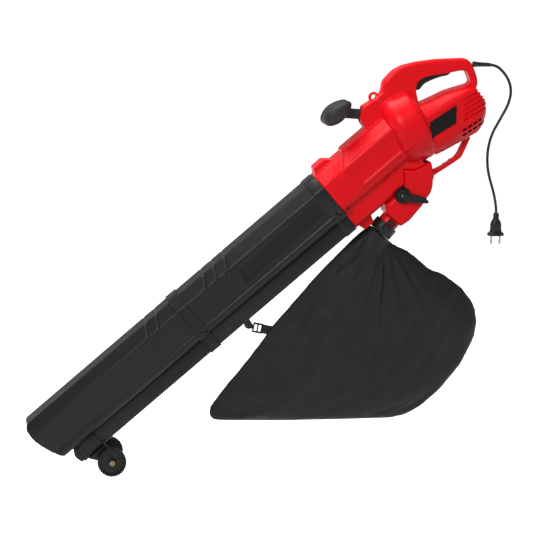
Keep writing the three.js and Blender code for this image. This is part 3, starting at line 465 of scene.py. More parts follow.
def glossed(tree, shader, source, low, high):
    tree.links.new(ranged(tree, source, low, high), shader.inputs["Roughness"])


def moulded(name, colour, roughness, grain=1400, strength=0.25, spread=0.06, shine=0.05, **sockets):
    """Moulded plastic: a fine spark-eroded grain, with a faint drift of colour and gloss."""
    material, tree, shader = started(name, roughness, **sockets)
    broad = noise(tree, 14, 4)
    fine = noise(tree, grain, 2)
    coloured(tree, shader, broad, colour, 1 - spread, 1 + spread)
    glossed(tree, shader, noise(tree, 60, 5), roughness - shine, roughness + shine)
    first = bumped(tree, shader, fine, strength, 0.00012)
    bumped(tree, shader, noise(tree, 45, 2), 0.12, 0.0006, first)
    return material


def metal(name, colour, roughness, stretch=(1, 12, 12)):
    """Brushed or turned metal: streaks in its roughness and its bump."""
    material, tree, shader = started(name, roughness, metallic=1.0)
    streaks = noise(tree, 320, 4, stretch)
    coloured(tree, shader, streaks, colour, 0.82, 1.1)
    glossed(tree, shader, streaks, roughness - 0.08, roughness + 0.12)
    bumped(tree, shader, streaks, 0.2, 0.00005)
    return material


def threads(tree, scale, turn):
    coordinates = tree.nodes.new("ShaderNodeTexCoord")
    mapping = tree.nodes.new("ShaderNodeMapping")
    mapping.inputs["Rotation"].default_value = turn
    wave = tree.nodes.new("ShaderNodeTexWave")
    wave.inputs["Scale"].default_value = scale
    wave.inputs["Distortion"].default_value = 0.6
    wave.inputs["Detail"].default_value = 1.0
    tree.links.new(coordinates.outputs["Object"], mapping.inputs["Vector"])
    tree.links.new(mapping.outputs["Vector"], wave.inputs["Vector"])
    return wave.outputs["Fac"]


def woven(name, colour, roughness, scale=260, sheen=0.25):
    """Plain weave: two sets of threads that cross, over a faint wrinkle."""
    material, tree, shader = started(
        name, roughness, Sheen_Weight=sheen, Sheen_Roughness=0.5, Specular_IOR_Level=0.25)
    warp = threads(tree, scale, (0, 0, 0))
    weft = threads(tree, scale, (0, math.pi / 2, 0))
    crossing = tree.nodes.new("ShaderNodeMath")
    crossing.operation = "MAXIMUM"
    tree.links.new(warp, crossing.inputs[0])
    tree.links.new(weft, crossing.inputs[1])
    weave = crossing.outputs["Value"]
    coloured(tree, shader, weave, colour, 0.55, 1.25, (0.2, 0.9))
    glossed(tree, shader, noise(tree, 30, 4), roughness - 0.07, roughness + 0.05)
    first = bumped(tree, shader, weave, 0.35, 0.0003)
    bumped(tree, shader, noise(tree, 38, 5, (1, 1, 0.55)), 0.35, 0.0022, first)
    return material


RED = (0.76, 0.0035, 0.009)
BLACK = (0.0075, 0.0075, 0.0078)
MATERIALS = {
    "red_plastic": moulded("red_plastic", RED, 0.33, grain=1100, strength=0.14, spread=0.04,
                          Specular_IOR_Level=0.12),
    "black_plastic": moulded("black_plastic", BLACK, 0.42, strength=0.3, spread=0.12,
                            Specular_IOR_Level=0.2),
    "label": moulded("label", (0.005, 0.005, 0.0055), 0.5, grain=2600, strength=0.1,
                    Specular_IOR_Level=0.12),
    "soft_grip": moulded("soft_grip", (0.014, 0.013, 0.0125), 0.55, grain=900, strength=0.4, spread=0.1,
                        Specular_IOR_Level=0.3),
    "steel": metal("steel", (0.46, 0.46, 0.47), 0.3),
    "dark_steel": metal("dark_steel", (0.03, 0.03, 0.031), 0.35, (8, 8, 8)),
    "brass": metal("brass", (0.2, 0.14, 0.075), 0.36),
    "copper": metal("copper", (0.6, 0.3, 0.16), 0.38, (1, 60, 1)),
    "alloy": metal("alloy", (0.58, 0.58, 0.6), 0.42, (3, 3, 3)),
    "pin_metal": metal("pin_metal", (0.32, 0.26, 0.21), 0.32, (10, 10, 1)),
    "bag_fabric": woven("bag_fabric", (0.0045, 0.0045, 0.0048), 0.62, sheen=0.04),
    "webbing": woven("webbing", (0.01, 0.01, 0.01), 0.8, scale=180, sheen=0.1),
    "cord_sheath": moulded("cord_sheath", (0.009, 0.009, 0.009), 0.36, grain=700, strength=0.15,
                          Specular_IOR_Level=0.3),
}


def panel_black():
    """Black tube plastic whose panel, marked by an attribute, is darker."""
    material, tree, shader = started("tube_black", 0.4, Specular_IOR_Level=0.2)
    mark = tree.nodes.new("ShaderNodeAttribute")
    mark.attribute_name = "panel"
    coloured(tree, shader, mark.outputs["Fac"], BLACK, 1.1, 0.5, (0.2, 0.8))
    glossed(tree, shader, noise(tree, 60, 5), 0.36, 0.46)
    first = bumped(tree, shader, noise(tree, 1500, 2), 0.3, 0.00012)
    bumped(tree, shader, noise(tree, 40, 2), 0.12, 0.0006, first)
    return material


TUBE_BLACK = panel_black()


# ---------- mains lead ----------
# The lead hangs from the end of the rear handle: its route in x and z, in millimetres.
CORD_ROUTE = [
    (140.5, 5.2), (148, 3.4), (156.2, -0.4), (163.9, -7), (172.8, -17.4), (180.2, -30.6), (184.1, -43.9),
    (184.6, -57.7), (182, -71.6), (176.9, -85.6), (170.2, -98.5), (162.9, -112), (155.4, -125.5),
    (148.5, -139), (142.9, -154.5), (139.1, -171.4), (137.4, -188.4), (137.5, -205.4), (139.4, -221.4),
    (143.2, -238.4), (148.6, -256.4), (153.6, -273.4), (157.4, -290.5), (159.5, -303.6), (160.3, -314.6),
]
PLUG_FLANGE, PLUG_NECK, PLUG_HEIGHT = 18.5, 5.5, 50
PLUG_PIN, PLUG_PIN_LENGTH, PLUG_PIN_SPACING = 2.4, 19, 19


def strain_relief():
    """A tapered rubber guard, slotted round by round so that it bends."""
    profile = [(0, 3), (5.7, 3), (6.2, 4.5), (6.2, 9), (5.5, 11.5)]
    rings = 7
    for k in range(rings):
        u = 13 + k * 4.2
        r = 5.4 - k * 0.16
        profile += [(r, u), (r, u + 2.2), (r - 0.7, u + 2.8), (r - 0.7, u + 3.6)]
    profile += [(4.4, 42.8), (4.0, 43.8), (3.3, 44), (0, 44)]
    turn = Vector((1, 0, 0)).rotation_difference(CORD_HEADING).to_matrix().to_4x4()
    matrix = Matrix.Translation(Vector(CORD_EXIT) / MM) @ turn
    guard = lathe(profile, 40, matrix=matrix)
    return placed(guard, "strain_relief", "root", "cord_sheath", "cord_guard", matrix=WORLD)


def plug_pieces():
    x, top = CORD_ROUTE[-1]
    z1 = top - GAP - 0.4 - PLUG_HEIGHT
    f = PLUG_FLANGE
    profile = [
        (0, z1), (f - 1.5, z1), (f - 0.4, z1 + 0.4), (f, z1 + 1.4), (f, z1 + 4), (f - 0.8, z1 + 5.4),
        (f - 3.4, z1 + 7.2), (13.4, z1 + 9.5), (12.6, z1 + 12), (12.4, z1 + 18), (12.4, z1 + 24),
        (11.6, z1 + 28), (10, z1 + 31.5), (8.4, z1 + 34), (7.4, z1 + 36),
    ]
    for k in range(4):
        z = z1 + 36 + k * 3.3
        profile += [(6.9, z + 0.2), (6.9 - 0.25 * k, z + 2.1), (5.4, z + 2.5), (5.4, z + 3.1)]
    profile += [(PLUG_NECK, z1 + PLUG_HEIGHT - 0.6), (4.4, z1 + PLUG_HEIGHT), (0, z1 + PLUG_HEIGHT)]

    def flats(angle, radius):
        """Two finger flats on the sides of the body."""
        return -0.16 * radius * math.sin(angle) ** 8 if radius > 9 else 0

    body = lathe(profile, 56, axis="z", at=(x, 0, 0), wave=flats)
    made = [placed(body, "plug", "root", "cord_sheath", "plug_body", matrix=WORLD)]
    for name, node, side in (("pin_a", "plug_pin_a", -1), ("pin_b", "plug_pin_b", 1)):
        r = PLUG_PIN
        z0 = z1 - GAP
        z2 = z0 - PLUG_PIN_LENGTH
        pin = lathe([(0, z2), (r - 1.3, z2 + 0.1), (r - 0.4, z2 + 0.8), (r, z2 + 2.2), (r, z2 + 9),
                     (r - 0.35, z2 + 9.4), (r - 0.35, z0), (0, z0)],
                    24, axis="z", at=(x + side * PLUG_PIN_SPACING / 2, 0, 0))
        made.append(placed(pin, name, "root", "pin_metal", node, matrix=WORLD))
    return made


def mains_lead():
    curve = bpy.data.curves.new("mains_lead", "CURVE")
    curve.dimensions = "3D"
    curve.bevel_depth = CORD_DIAMETER / 2
    curve.bevel_resolution = 4
    curve.resolution_u = 8
    spline = curve.splines.new("BEZIER")
    spline.bezier_points.add(len(CORD_ROUTE) - 1)
    for point, (x, z) in zip(spline.bezier_points, CORD_ROUTE):
        point.co = (x * MM, 0, z * MM)
        point.handle_left_type = point.handle_right_type = "AUTO"
    lead = bpy.data.objects.new("mains_lead", curve)
    bpy.context.scene.collection.objects.link(lead)
    lead.data.materials.append(MATERIALS["cord_sheath"])
    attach(lead, "root")
    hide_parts("power_cord")
    strain_relief()
    plug_pieces()


mains_lead()

# ---------- sections ----------
SUCTION = mirrored([(44, -26), (56, -12), (56, 51.2), (32.5, 74.7)])
BLOW_TOP, BLOW_HEIGHT, BLOW_HALF = -26.6, 41, 35
BLOW = box2(-BLOW_HALF, BLOW_TOP - BLOW_HEIGHT, BLOW_HALF, BLOW_TOP)
DUCT = mirrored([
    (28, -68), (38, -60), (38, -30), (44, -22), (52, -17), (58, -6), (58, 54), (30, 77),
])


def suction_section(inset=0, step=None):
    """The suction tube's section: crisp shoulders above, and a bead under a crease on each side."""
    half = [(40, -26), (44, -28.4), (49, -27.6), (53.4, -23.4), (55.6, -18), (55.4, -13), (53.4, -9.6)]
    half += [(56, -5.5), (56, 48), (55.2, 51), (53.2, 54), (34.5, 72.7), (30.5, 74.7)]
    section = mirrored(half)
    if inset:
        section = grown(section, -inset)
    return resampled([tuple(p) for p in section], step) if step else section


# ---------- tubes ----------
MOUTH_V = [-33, -22, -12, 0, 20, 41, 64, 70, 75]
MOUTH_U = [30, 21, 16, 11, 4.5, 0, 0, 3, 10]
PANEL = [(-246, 39), (-29, 43.5), (-29, 8), (-256, 4)]
UPPER_GROOVES = (-313, -284, -254)
LOWER_GROOVES = (-474, -445)


def tube_marks(u, v, starts):
    """The slanted channels round the top and the sides of a tube, unit deep."""
    total = np.zeros(u.shape)
    for start in starts:
        lean = np.interp(v, [10, 51, 62, 75], [-47, -15, -9, 0])
        away = np.abs(u - (start + lean)) / 1.7
        fade = smoothstep(-2, 26, v)
        total = np.maximum(total, np.exp(-away ** 2) * fade)
    return total


def dense_tube(name, node, u0, u1, starts, slanted=False, panel=False):
    """One length of the suction tube, fine enough to carry its grooves and its panel."""
    step = 2.0
    outer = suction_section(0, step)
    inner = suction_section(2.5, step)
    inner = [inner[i] for i in nearest_match(outer, inner)]
    count = round((u1 - u0) / step)
    stations = [u0 + (u1 - u0) * k / count for k in range(count + 1)]
    rings = []

    def ring(section, u, slant):
        points = []
        for y, v in section:
            shift = float(np.interp(v, MOUTH_V, MOUTH_U)) * slant
            points.append((u + shift, y, v))
        return points

    def slant_at(u):
        return max(0.0, 1 - (u - u0) / 60) if slanted else 0.0

    lip = 0.7
    rings.append(ring(grown_ring(outer, -lip), u0, slant_at(u0)))
    rings += [ring(outer, u + (lip if k == 0 else -lip if k == len(stations) - 1 else 0), slant_at(u))
              for k, u in enumerate(stations)]
    rings.append(ring(grown_ring(outer, -lip), u1, 0))
    for u in (u1, u0 + 80, u0 + 40, u0):
        rings.append(ring(inner, u, slant_at(u)))
    tube = skin(name, rings, closed=True)

    def height(u, y, v, normals):
        outside = depth_in(suction_section(1.2), y, v) < 0
        sunk = -1.5 * tube_marks(u, v, starts)
        if panel:
            near_panel = depth_in(PANEL, u, v) * (np.abs(normals[:, 1]) > 0.9)
            sunk = sunk - smoothstep(-0.4, 1.6, near_panel)
        return np.where(outside, sunk, 0)

    if panel:
        places, normals = arrays(tube)
        mark = smoothstep(-0.5, 1.5, depth_in(PANEL, places[:, 0], places[:, 2]))
        mark = mark * (np.abs(normals[:, 1]) > 0.9)
        attribute = tube.data.attributes.new("panel", "FLOAT", "POINT")
        attribute.data.foreach_set("value", mark.astype(np.float32))
    sculpted(tube, height)
    return placed(tube, name, "root", "black_plastic", node, finish=TUBE_BLACK)


def grown_ring(points, distance):
    return [tuple(p) for p in grown(points, distance)]


def nearest_match(outer, inner):
    q = np.array(inner)
    return [int(np.argmin(np.hypot(q[:, 0] - y, q[:, 1] - v))) for y, v in outer]


def blow_tube(name, node, u0, u1, tip):
    section = rounded(BLOW, 10, 8)
    shell = run(section, u0, u1, 1.2)
    cut(shell, run(grown(section, -2.5), u0 - 5, u1 + 5))
    if tip:
        bottom = BLOW_TOP - BLOW_HEIGHT
        cut(shell, prism([(u0 - 9, BLOW_TOP + 3), (u0 - 9, bottom - 3), (u0 + 5, bottom - 3), (u0, -50),
                          (u0 + 2, -42), (u0 + 13, BLOW_TOP + 3)], -60, 60))
        # Two ribs stiffen the nozzle's end.
        for u in (u0 + 16, u0 + 36):
            rib = run(grown(section, 1.1), u, u + 1.6, 0.5)
            add(shell, cut(rib, run(grown(section, -1), u - 5, u + 9)))
    return placed(shell, name, "root", "black_plastic", node)


COLLAR_SCREW = (-14.5, -16.5)
BAND_SCREW = (-392, -20.5)


def band(u0, u1, proud, cutters=(), boss=None):
    """A band round both tubes, with a screw boss on its near side where one is asked for."""
    blow = rounded(BLOW, 10, 8)
    suction = suction_section()
    shell = run(grown(suction, GAP + proud), u0, u1, 0.7)
    add(shell, run(grown(blow, GAP + proud), u0, u1, 0.7))
    if boss:
        face = -56 - GAP - proud
        add(shell, prism(disc(*boss, 7), face, face + 18, 0.8))
    cut(shell, run(grown(suction, GAP), u0 - 5, u1 + 5), run(grown(blow, GAP), u0 - 5, u1 + 5), *cutters)
    if boss:
        add(shell, lathe(pipe(4.4, 6.2, face - 1.4, face + 2, 0.5), 40, axis="y", at=(boss[0], 0, boss[1]),
                         closed=True))
    return shell


def screw(name, node, u, v, y, radius, slot="dark_steel", body="root"):
    """A pan-head screw seen on the near side, with a cross recess."""
    head = lathe([(0, 2), (radius, 2), (radius, 0.9), (radius - 0.6, 0.25), (radius - 1.4, 0), (0, 0)],
                 40, axis="y", at=(u, y, v))
    for turn in (0.3, 0.3 + math.pi / 2):
        arm = prism(box2(-radius * 0.62, -0.45, radius * 0.62, 0.45), y - 1, y + 1.1)
        arm.data.transform(Matrix.Translation((u, 0, v)) @ Matrix.Rotation(turn, 4, "Y"))
        cut(head, arm)
    return placed(head, name, body, slot, node)


def tubes():
    dense_tube("lower_suction_tube", "suction_tube_lower", TUBE_MOUTH, TUBE_JOINT - GAP, LOWER_GROOVES,
               slanted=True)
    dense_tube("upper_suction_tube", "suction_tube_upper", TUBE_JOINT, -GAP, UPPER_GROOVES, panel=True)
    blow_tube("lower_blow_tube", "blow_tube_lower", -776, TUBE_JOINT - GAP, True)
    blow_tube("upper_blow_tube", "blow_tube_upper", TUBE_JOINT, -GAP, False)
    slot = prism(rounded(box2(TUBE_JOINT - 8, 27, TUBE_JOINT - 3, 39), 1.5), -FAR_OUT, FAR_OUT)
    joint = band(TUBE_JOINT - 13.5, TUBE_JOINT + 13.5, 2.2, [slot], BAND_SCREW)
    for u in (TUBE_JOINT - 13.5, TUBE_JOINT + 10.5):
        rim = band(u, u + 3, 3.0)
        add(joint, rim)
    placed(joint, "joint_band", "root", "black_plastic", "tube_joint_band")
    collar = band(-28, -GAP, 1.6, boss=COLLAR_SCREW)
    placed(collar, "front_collar", "root", "black_plastic", "tube_collar")
    screw("front_collar_screw", "collar_screw", *COLLAR_SCREW, -60.2, 4)
    screw("joint_band_screw", "band_screw", *BAND_SCREW, -60.8, 4)


# ---------- housing ----------
HANDLE = [
    (262, 20), (386, -9), (395, -7.5), (404.5, 4.5), (411, 21), (416.5, 41), (413, 56), (391, 73),
    (361, 96.5), (325, 119.5), (298, 133), (277, 138), (244, 134.5), (230, 122), (214, 112), (205, 60),
]
OPENING = [
    (272, 47), (300, 39.5), (332, 31), (361.4, 18.6), (376, 12.5), (385, 9.5), (390, 14),
    (396, 33), (389, 42.5), (361.4, 58), (332, 76.5), (317, 84), (303, 86), (293, 82),
    (286, 74), (280, 63),
]
AUX_BLOCK = [
    (148, 60), (228, 60), (228, 118), (196, 119), (176, 122), (168, 116), (156, 107), (151, 97),
]
LOWER_BAR = [
    (192, -83), (200, -96), (245, -102), (271, -105), (291, -96), (316, -84), (303, -76), (288, -84.5),
    (274, -91), (263, -94), (229, -91), (206, -85), (200, -76),
]
DIVERTER = [
    (68, -84), (74, -128), (97, -131), (139, -124), (156, -118), (170, -115), (183, -106), (191, -97),
    (199, -92), (214, -62), (200, -58), (176, -51), (157, -33), (150, -42), (131, -70), (80, -70),
]
LABEL = [(241, -19), (304, -29), (329, 0.5), (262, 9)]
TRIGGER = [
    (287, 72), (294, 68.5), (308.6, 71.4), (317.4, 69.9), (332, 65.5), (346.7, 59.7), (358.4, 53.1),
    (366, 51.5), (374, 55), (376.5, 60), (374, 65.5), (360, 70), (346, 77), (332, 84), (318, 90),
    (304, 91), (294, 87), (288, 80),
]
# Stations of the motor housing: place, bottom, lower side, upper side, top, half width.
MOTOR_STATIONS = [
    (232, -62, -36, 28, 60, 54), (256, -68, -40, 25.5, 50, 54), (272, -71, -43, 22, 47, 54),
    (300, -77, -47, 17.5, 39, 53.5), (331, -83, -52, 12, 31, 51.5), (352, -79, -50, 8.5, 23, 49.5),
    (368, -67, -45, 5.5, 15.5, 47), (378, -57, -40, 3, 8, 44), (384, -48, -34, -2, 4, 40),
]
# The opening between the fan's chamber and the diverter.
PASSAGE = [(163, -34), (176, -60), (205, -70), (212, -50), (200, -20)]
EYELET_U, EYELET_V, EYELET_RADIUS, EYELET_HOLE = 208.5, 120, 11.5, 5.8
VOXEL = 1.4


def motor_section(bottom, low, high, top, half):
    return rounded(mirrored([
        (half * 0.42, bottom), (half * 0.86, bottom * 0.35 + low * 0.65), (half, low + 9), (half, high),
        (half * 0.55, top),
    ]), 9, 4)


def motor_form():
    rings = [[(u, y, v) for y, v in motor_section(*sizes)] for u, *sizes in MOTOR_STATIONS]
    u, *sizes = MOTOR_STATIONS[-1]
    # The rear end closes in towards its middle, 22 below the frame's axis.
    for ahead, share in ((3, 0.93), (4, 0.8)):
        rings.append([(u + ahead, y * share, (v + 22) * share - 22) for y, v in motor_section(*sizes)])
    return skin("motor_form", rings)


def ring_profile(inset=0):
    """A broad band with tight round shoulders, the front one longer than the rear one."""
    r, front, rear = RING_RADIUS - inset, RING_FRONT + inset, RING_REAR - inset

    def shoulder(across, along, face, sign):
        return [(r - across * (1 - math.sin(t)), face + sign * along * (1 - math.cos(t)))
                for t in np.linspace(0, math.pi / 2, 11)]

    return ([(0, front)] + shoulder(25, 30, front, 1) + shoulder(17, 16, rear, -1)[::-1] + [(0, rear)])


CHEVRON = [(85, 79), (39.5, 40.5), (64, -4), (230, -4), (230, 79)]
RECESS = [(57, 41), (200, 44), (200, 2), (69.5, 1.5)]


def duct_details(u, y, v, normals):
    """Raised chevron field, its sunk panel, and the faint chevron lines before it."""
    side = smoothstep(0.35, 0.8, np.abs(normals[:, 1])) * (u < 196) * (v > -9)
    raised = 3.0 * smoothstep(-0.4, 1.8, depth_in(CHEVRON, u, v))
    sunk = -2.6 * smoothstep(0, 3.6, depth_in(RECESS, u, v))
    lines = np.zeros(u.shape)
    for shift in (0, 17):
        lines = np.maximum(lines, groove(u, v, (6 + shift, 44), (24 + shift, -2), 3))
    for shift in (0, 14):
        lines = np.maximum(lines, groove(u, v, (18 + shift, 44), (44 + shift, 68), 3))
    return side * (raised + sunk - 1.2 * lines * (u < 58))


def motor_details(u, y, v, normals):
    """Cooling ribs round the rear end, a sunk surround for the label, and two grooves underneath."""
    side = smoothstep(0.25, 0.7, np.hypot(normals[:, 1], normals[:, 0]))
    slope = v + 0.2 * (u - 340)
    # The ribs start at a slanted border behind the label.
    border = smoothstep(0, 5, u - (346 + (slope + 6) * 0.75))
    within = smoothstep(-50, -47, slope) * (1 - smoothstep(3, 6, slope))
    waves = 0.5 - 0.5 * np.cos((slope - 2) / 9.6 * 2 * math.pi)
    ribs = -4.2 * smoothstep(0.25, 0.9, waves) * border * within * (u > 300)
    surround = -0.9 * (smoothstep(-6, -3.5, depth_in(LABEL, u, v)))
    near = (np.abs(normals[:, 1]) > 0.55) & (u > 236)
    steps = np.zeros(u.shape)
    for low in (-58, -68):
        steps = np.maximum(steps, groove(u, v, (262, low + 5), (372, low - 14), 3.4))
    return side * (ribs + np.where(near, surround, 0)) - 1.3 * steps * (u > 250) * (normals[:, 2] < 0.2)


def handle_details(u, y, v, normals):
    """A shallow scoop along both sides of the grip."""
    scoop = groove(u, v, (300, 112), (392, 52), 9)
    return -0.9 * scoop * (np.abs(normals[:, 1]) > 0.6) * (np.abs(y) < 24)


def housing_solid():
    section = rounded(DUCT, 4, 3)
    forms = [
        run(section, 0, 200, 1.5),
        prism(rounded([(1, 70), (58, 70), (56, 76), (39, 91.5), (12, 91.5)], 2), -23, 23, 2),
        prism(rounded([(70, 68), (152, 68), (152, 83.2), (83, 83.2)], 2), -22, 22, 2),
        prism(rounded([(5, -60), (12, -86), (37, -86), (46, -60)], 2), -18, 18, 2),
        prism(rounded(HANDLE, 7), -HANDLE_HALF, HANDLE_HALF, 8, 9, 5),
        prism(rounded(AUX_BLOCK, 3), -20, 20, 4, 5),
        prism(rounded(LOWER_BAR, 3), -10, 10, 3, 4),
        prism(disc(EYELET_U, EYELET_V, EYELET_RADIUS), -5, 5, 2),
        lathe(ring_profile(), 128, matrix=MOTOR),
        motor_form(),
    ]
    solid = remeshed(merged(*forms), VOXEL)
    cut(solid, prism(rounded(OPENING, 5), -FAR_OUT, FAR_OUT),
        prism(disc(EYELET_U, EYELET_V, EYELET_HOLE), -FAR_OUT, FAR_OUT))
    smoothed(remeshed(solid, VOXEL), 4, 0.6)
    sculpted(solid, lambda *at: duct_details(*at) + motor_details(*at) + handle_details(*at))
    return smoothed(solid, 1, 0.4)


def turned_about(u, v, angle):
    return Matrix.Translation((u, 0, v)) @ Matrix.Rotation(angle, 4, "Y") @ Matrix.Translation((-u, 0, -v))


def housing_room():
    """Everything that the housing leaves free inside, as separate cutters."""
    chamber = ring_profile(WALL + 2)
    suction = run(grown(SUCTION, -WALL), -6, 196)
    blowing = run(grown(rounded(BLOW, 10, 3), -WALL), -6, 170)
    motor = skin("room", [
        [(u, y, v) for y, v in grown(motor_section(*sizes), -2 * WALL)]
        for u, *sizes in MOTOR_STATIONS[1:-1]
    ])
    handle = prism(grown(HANDLE, -WALL - 1), -HANDLE_HALF + WALL, HANDLE_HALF - WALL, 7, 8, 2)
    keep = prism(grown(OPENING, WALL + 1), -FAR_OUT, FAR_OUT)
    cut(handle, keep, lathe(rod(RING_RADIUS + 4, -FAR_OUT, RING_REAR + 4), 24, matrix=MOTOR))
    cut(suction, lathe(rod(FAR_OUT, RING_FRONT + 0.5, FAR_OUT), 8, matrix=MOTOR))
    return [
        suction, blowing, motor, handle,
        lathe(chamber, 48, matrix=MOTOR),
        lathe(rod(34, RING_FRONT - 2, RING_FRONT + 6), 48, matrix=MOTOR),
        prism(PASSAGE, -22, 22),
    ]


def split(solid):
    """Near and far halves of a form, with the parting gap between them."""
    far = copied(solid)
    wide = box2(-1200, -800, 1200, 800)
    cut(solid, prism(wide, -GAP / 2, FAR_OUT))
    cut(far, prism(wide, -FAR_OUT, GAP / 2))
    return solid, far


def biggest(obj):
    """Keeps the largest connected body of a mesh."""
    form = bmesh.new()
    form.from_mesh(obj.data)
    left = set(form.verts)
    bodies = []
    while left:
        seed = left.pop()
        body, edge = {seed}, [seed]
        while edge:
            for link_edge in edge.pop().link_edges:
                for other in link_edge.verts:
                    if other in left:
                        left.discard(other)
                        body.add(other)
                        edge.append(other)
        bodies.append(body)
    keep = max(bodies, key=len)
    bmesh.ops.delete(form, geom=[v for v in form.verts if v not in keep], context="VERTS")
    form.to_mesh(obj.data)
    form.free()
    return obj


def housing():
    solid = housing_solid()
    cut(solid, prism(rounded(grown(DIVERTER, GAP), 2), -FAR_OUT, FAR_OUT))
    cut(solid, *housing_room())
    slot = grown(TRIGGER, 0.8)
    for share in (0, 0.35, 0.7, 1.1):
        swept = prism(slot, -TRIGGER_HALF - 0.8, TRIGGER_HALF + 0.8)
        swept.data.transform(turned_about(TRIGGER_PIVOT_U, TRIGGER_PIVOT_V, share * math.radians(5)))
        cut(solid, swept)
    half = 9 + 0.8
    r = 13.5
    sweep_room = [(AUX_U - 3, AUX_V - r), (AUX_U + 9, AUX_V + r - 4), (AUX_U + 4, AUX_V + 40),
                  (AUX_U - 50, AUX_V + 40), (AUX_U - 50, AUX_V - r)]
    cut(solid, prism(disc(AUX_U, AUX_V, r), -half, half), prism(sweep_room, -half, half),
        prism(disc(AUX_U, AUX_V, 4.3), -17.3, 17.3))
    boss = lathe(pipe(3.9, 5.6, SHELL_SCREW_SEAT - 3.4, SHELL_SCREW_SEAT + 6), 40, axis="y",
                 at=(SHELL_SCREW_U, 0, SHELL_SCREW_V), closed=True)
    cut(solid, prism(disc(SHELL_SCREW_U, SHELL_SCREW_V, 3.9), -FAR_OUT, SHELL_SCREW_SEAT))
    add(solid, boss)
    cut(solid, prism(grown(rounded(LABEL, 1.5), GAP), -FAR_OUT, -53))
    for u, v in ((306, -55), (300, -65)):
        for i in range(4):
            left, low = u + 13 * i, v - 2.2 * i
            hole = [
                (left - 1, low - 0.4), (left + 9, low - 1.8), (left + 11, low + 3.2), (left + 1, low + 4.6),
            ]
            cut(solid, prism(rounded(hole, 1), -FAR_OUT, FAR_OUT))
    to_tube = TUBE.inverted() @ WORLD
    turn = Vector((1, 0, 0)).rotation_difference(CORD_HEADING).to_matrix().to_4x4()
    cord_way = to_tube @ Matrix.Translation(Vector(CORD_EXIT) / MM) @ turn
    cut(solid, lathe(rod(4.6, -20, 30), 32, matrix=cord_way))
    near, far = split(solid)
    # A web in the near half stands behind the cooling slots.
    near = add(biggest(near), prism([(296, -50), (296, -74), (331, -80), (352, -74), (352, -50)], -6, -3.5))
    placed(near, "housing_near", "root", "red_plastic", "main_shell_near", angle=50)
    placed(biggest(far), "housing_far", "root", "red_plastic", "main_shell_far", angle=50)
    plate = prism(rounded(LABEL, 1.5), -54.6, -53.4, 0.4)
    placed(plate, "side_label", "root", "label", "label_plate")
    screw("housing_screw", "shell_screw", SHELL_SCREW_U, SHELL_SCREW_V, SHELL_SCREW_SEAT - GAP - 2, 3.5)


# ---------- diverter ----------
def diverter_details(u, y, v, normals):
    side = smoothstep(0.5, 0.9, np.abs(normals[:, 1]))
    flare = groove(u, v, (93, -92), (97, -131), 5)
    return side * -0.8 * flare


def diverter():
    body = prism(rounded(DIVERTER, 4), -DIVERTER_HALF, DIVERTER_HALF, 8, 10, 5)
    tube = lathe([(0, -66), (22, -66), (22, -1.5), (21.5, -0.4), (20.5, 0), (0, 0)], 64, matrix=SPOUT)
    solid = smoothed(remeshed(merged(body, tube), 1.1), 3, 0.5)
    sculpted(solid, diverter_details)
    inside = prism(grown(DIVERTER, -WALL), -DIVERTER_HALF + WALL, DIVERTER_HALF - WALL, 6.5, 8.5, 2)
    flap_room = prism(disc(LEVER_U, LEVER_V, 8), -25.8, 25.8)
    cut(solid, inside, lathe(rod(19, -60, 4), 48, matrix=SPOUT),
        run(grown(rounded(BLOW, 10, 3), -WALL), 110, 158),
        prism(PASSAGE, -22, 22),
        prism(disc(LEVER_U, LEVER_V, 3.8), -FAR_OUT, FAR_OUT), flap_room)
    near, far = split(solid)
    placed(biggest(near), "diverter_near", "root", "red_plastic", "diverter_housing_near", angle=50)
    placed(biggest(far), "diverter_far", "root", "red_plastic", "diverter_housing_far", angle=50)


def changeover():
    face = -DIVERTER_HALF
    outer = face - 12
    pivot = (LEVER_U, 0, LEVER_V)
    ring = lathe([
        (3.8, face - 2.4), (14.4, face - 2.4), (15.4, face - 3), (16.9, face - 3), (17.5, face - 2.4),
        (17.5, face - GAP), (3.8, face - GAP),
    ], 64, axis="y", at=pivot, closed=True)
    placed(ring, "lever_ring", "root", "black_plastic", "lever_escutcheon")
    knob = lathe([
        (3.8, face - 3.3), (14.2, face - 3.3), (15, face - 4.2), (15, outer + 3.4), (14.2, outer + 2.2),
        (12.6, outer + 2), (11.8, outer + 3.4), (7.5, outer + 3.6), (6.4, outer + 2.4), (3.8, outer + 2.4),
    ], 64, axis="y", at=pivot, closed=True)
    reach = 58
    tip_u, tip_v = LEVER_U + 0.545 * reach, LEVER_V - 0.838 * reach
    arm = [
        (LEVER_U - 7, LEVER_V - 7), (tip_u - 15, tip_v + 12), (tip_u - 1, tip_v + 1), (tip_u + 2, tip_v + 3),
        (tip_u + 2, tip_v + 15), (LEVER_U + 13, LEVER_V - 4), (LEVER_U + 3, LEVER_V + 6),
    ]
    lever = add(knob, prism(rounded(arm, 2), outer, face - 5, 1.6, steps=4))
    scoop = [
        (LEVER_U + 8, LEVER_V - 14), (tip_u - 10, tip_v + 12), (tip_u - 3, tip_v + 14),
        (LEVER_U + 13, LEVER_V - 11),
    ]
    cut(lever, prism(rounded(scoop, 2), outer - 1, outer + 0.8, 0.3))
    placed(lever, "mode_lever", "changeover", "black_plastic", "changeover_lever")


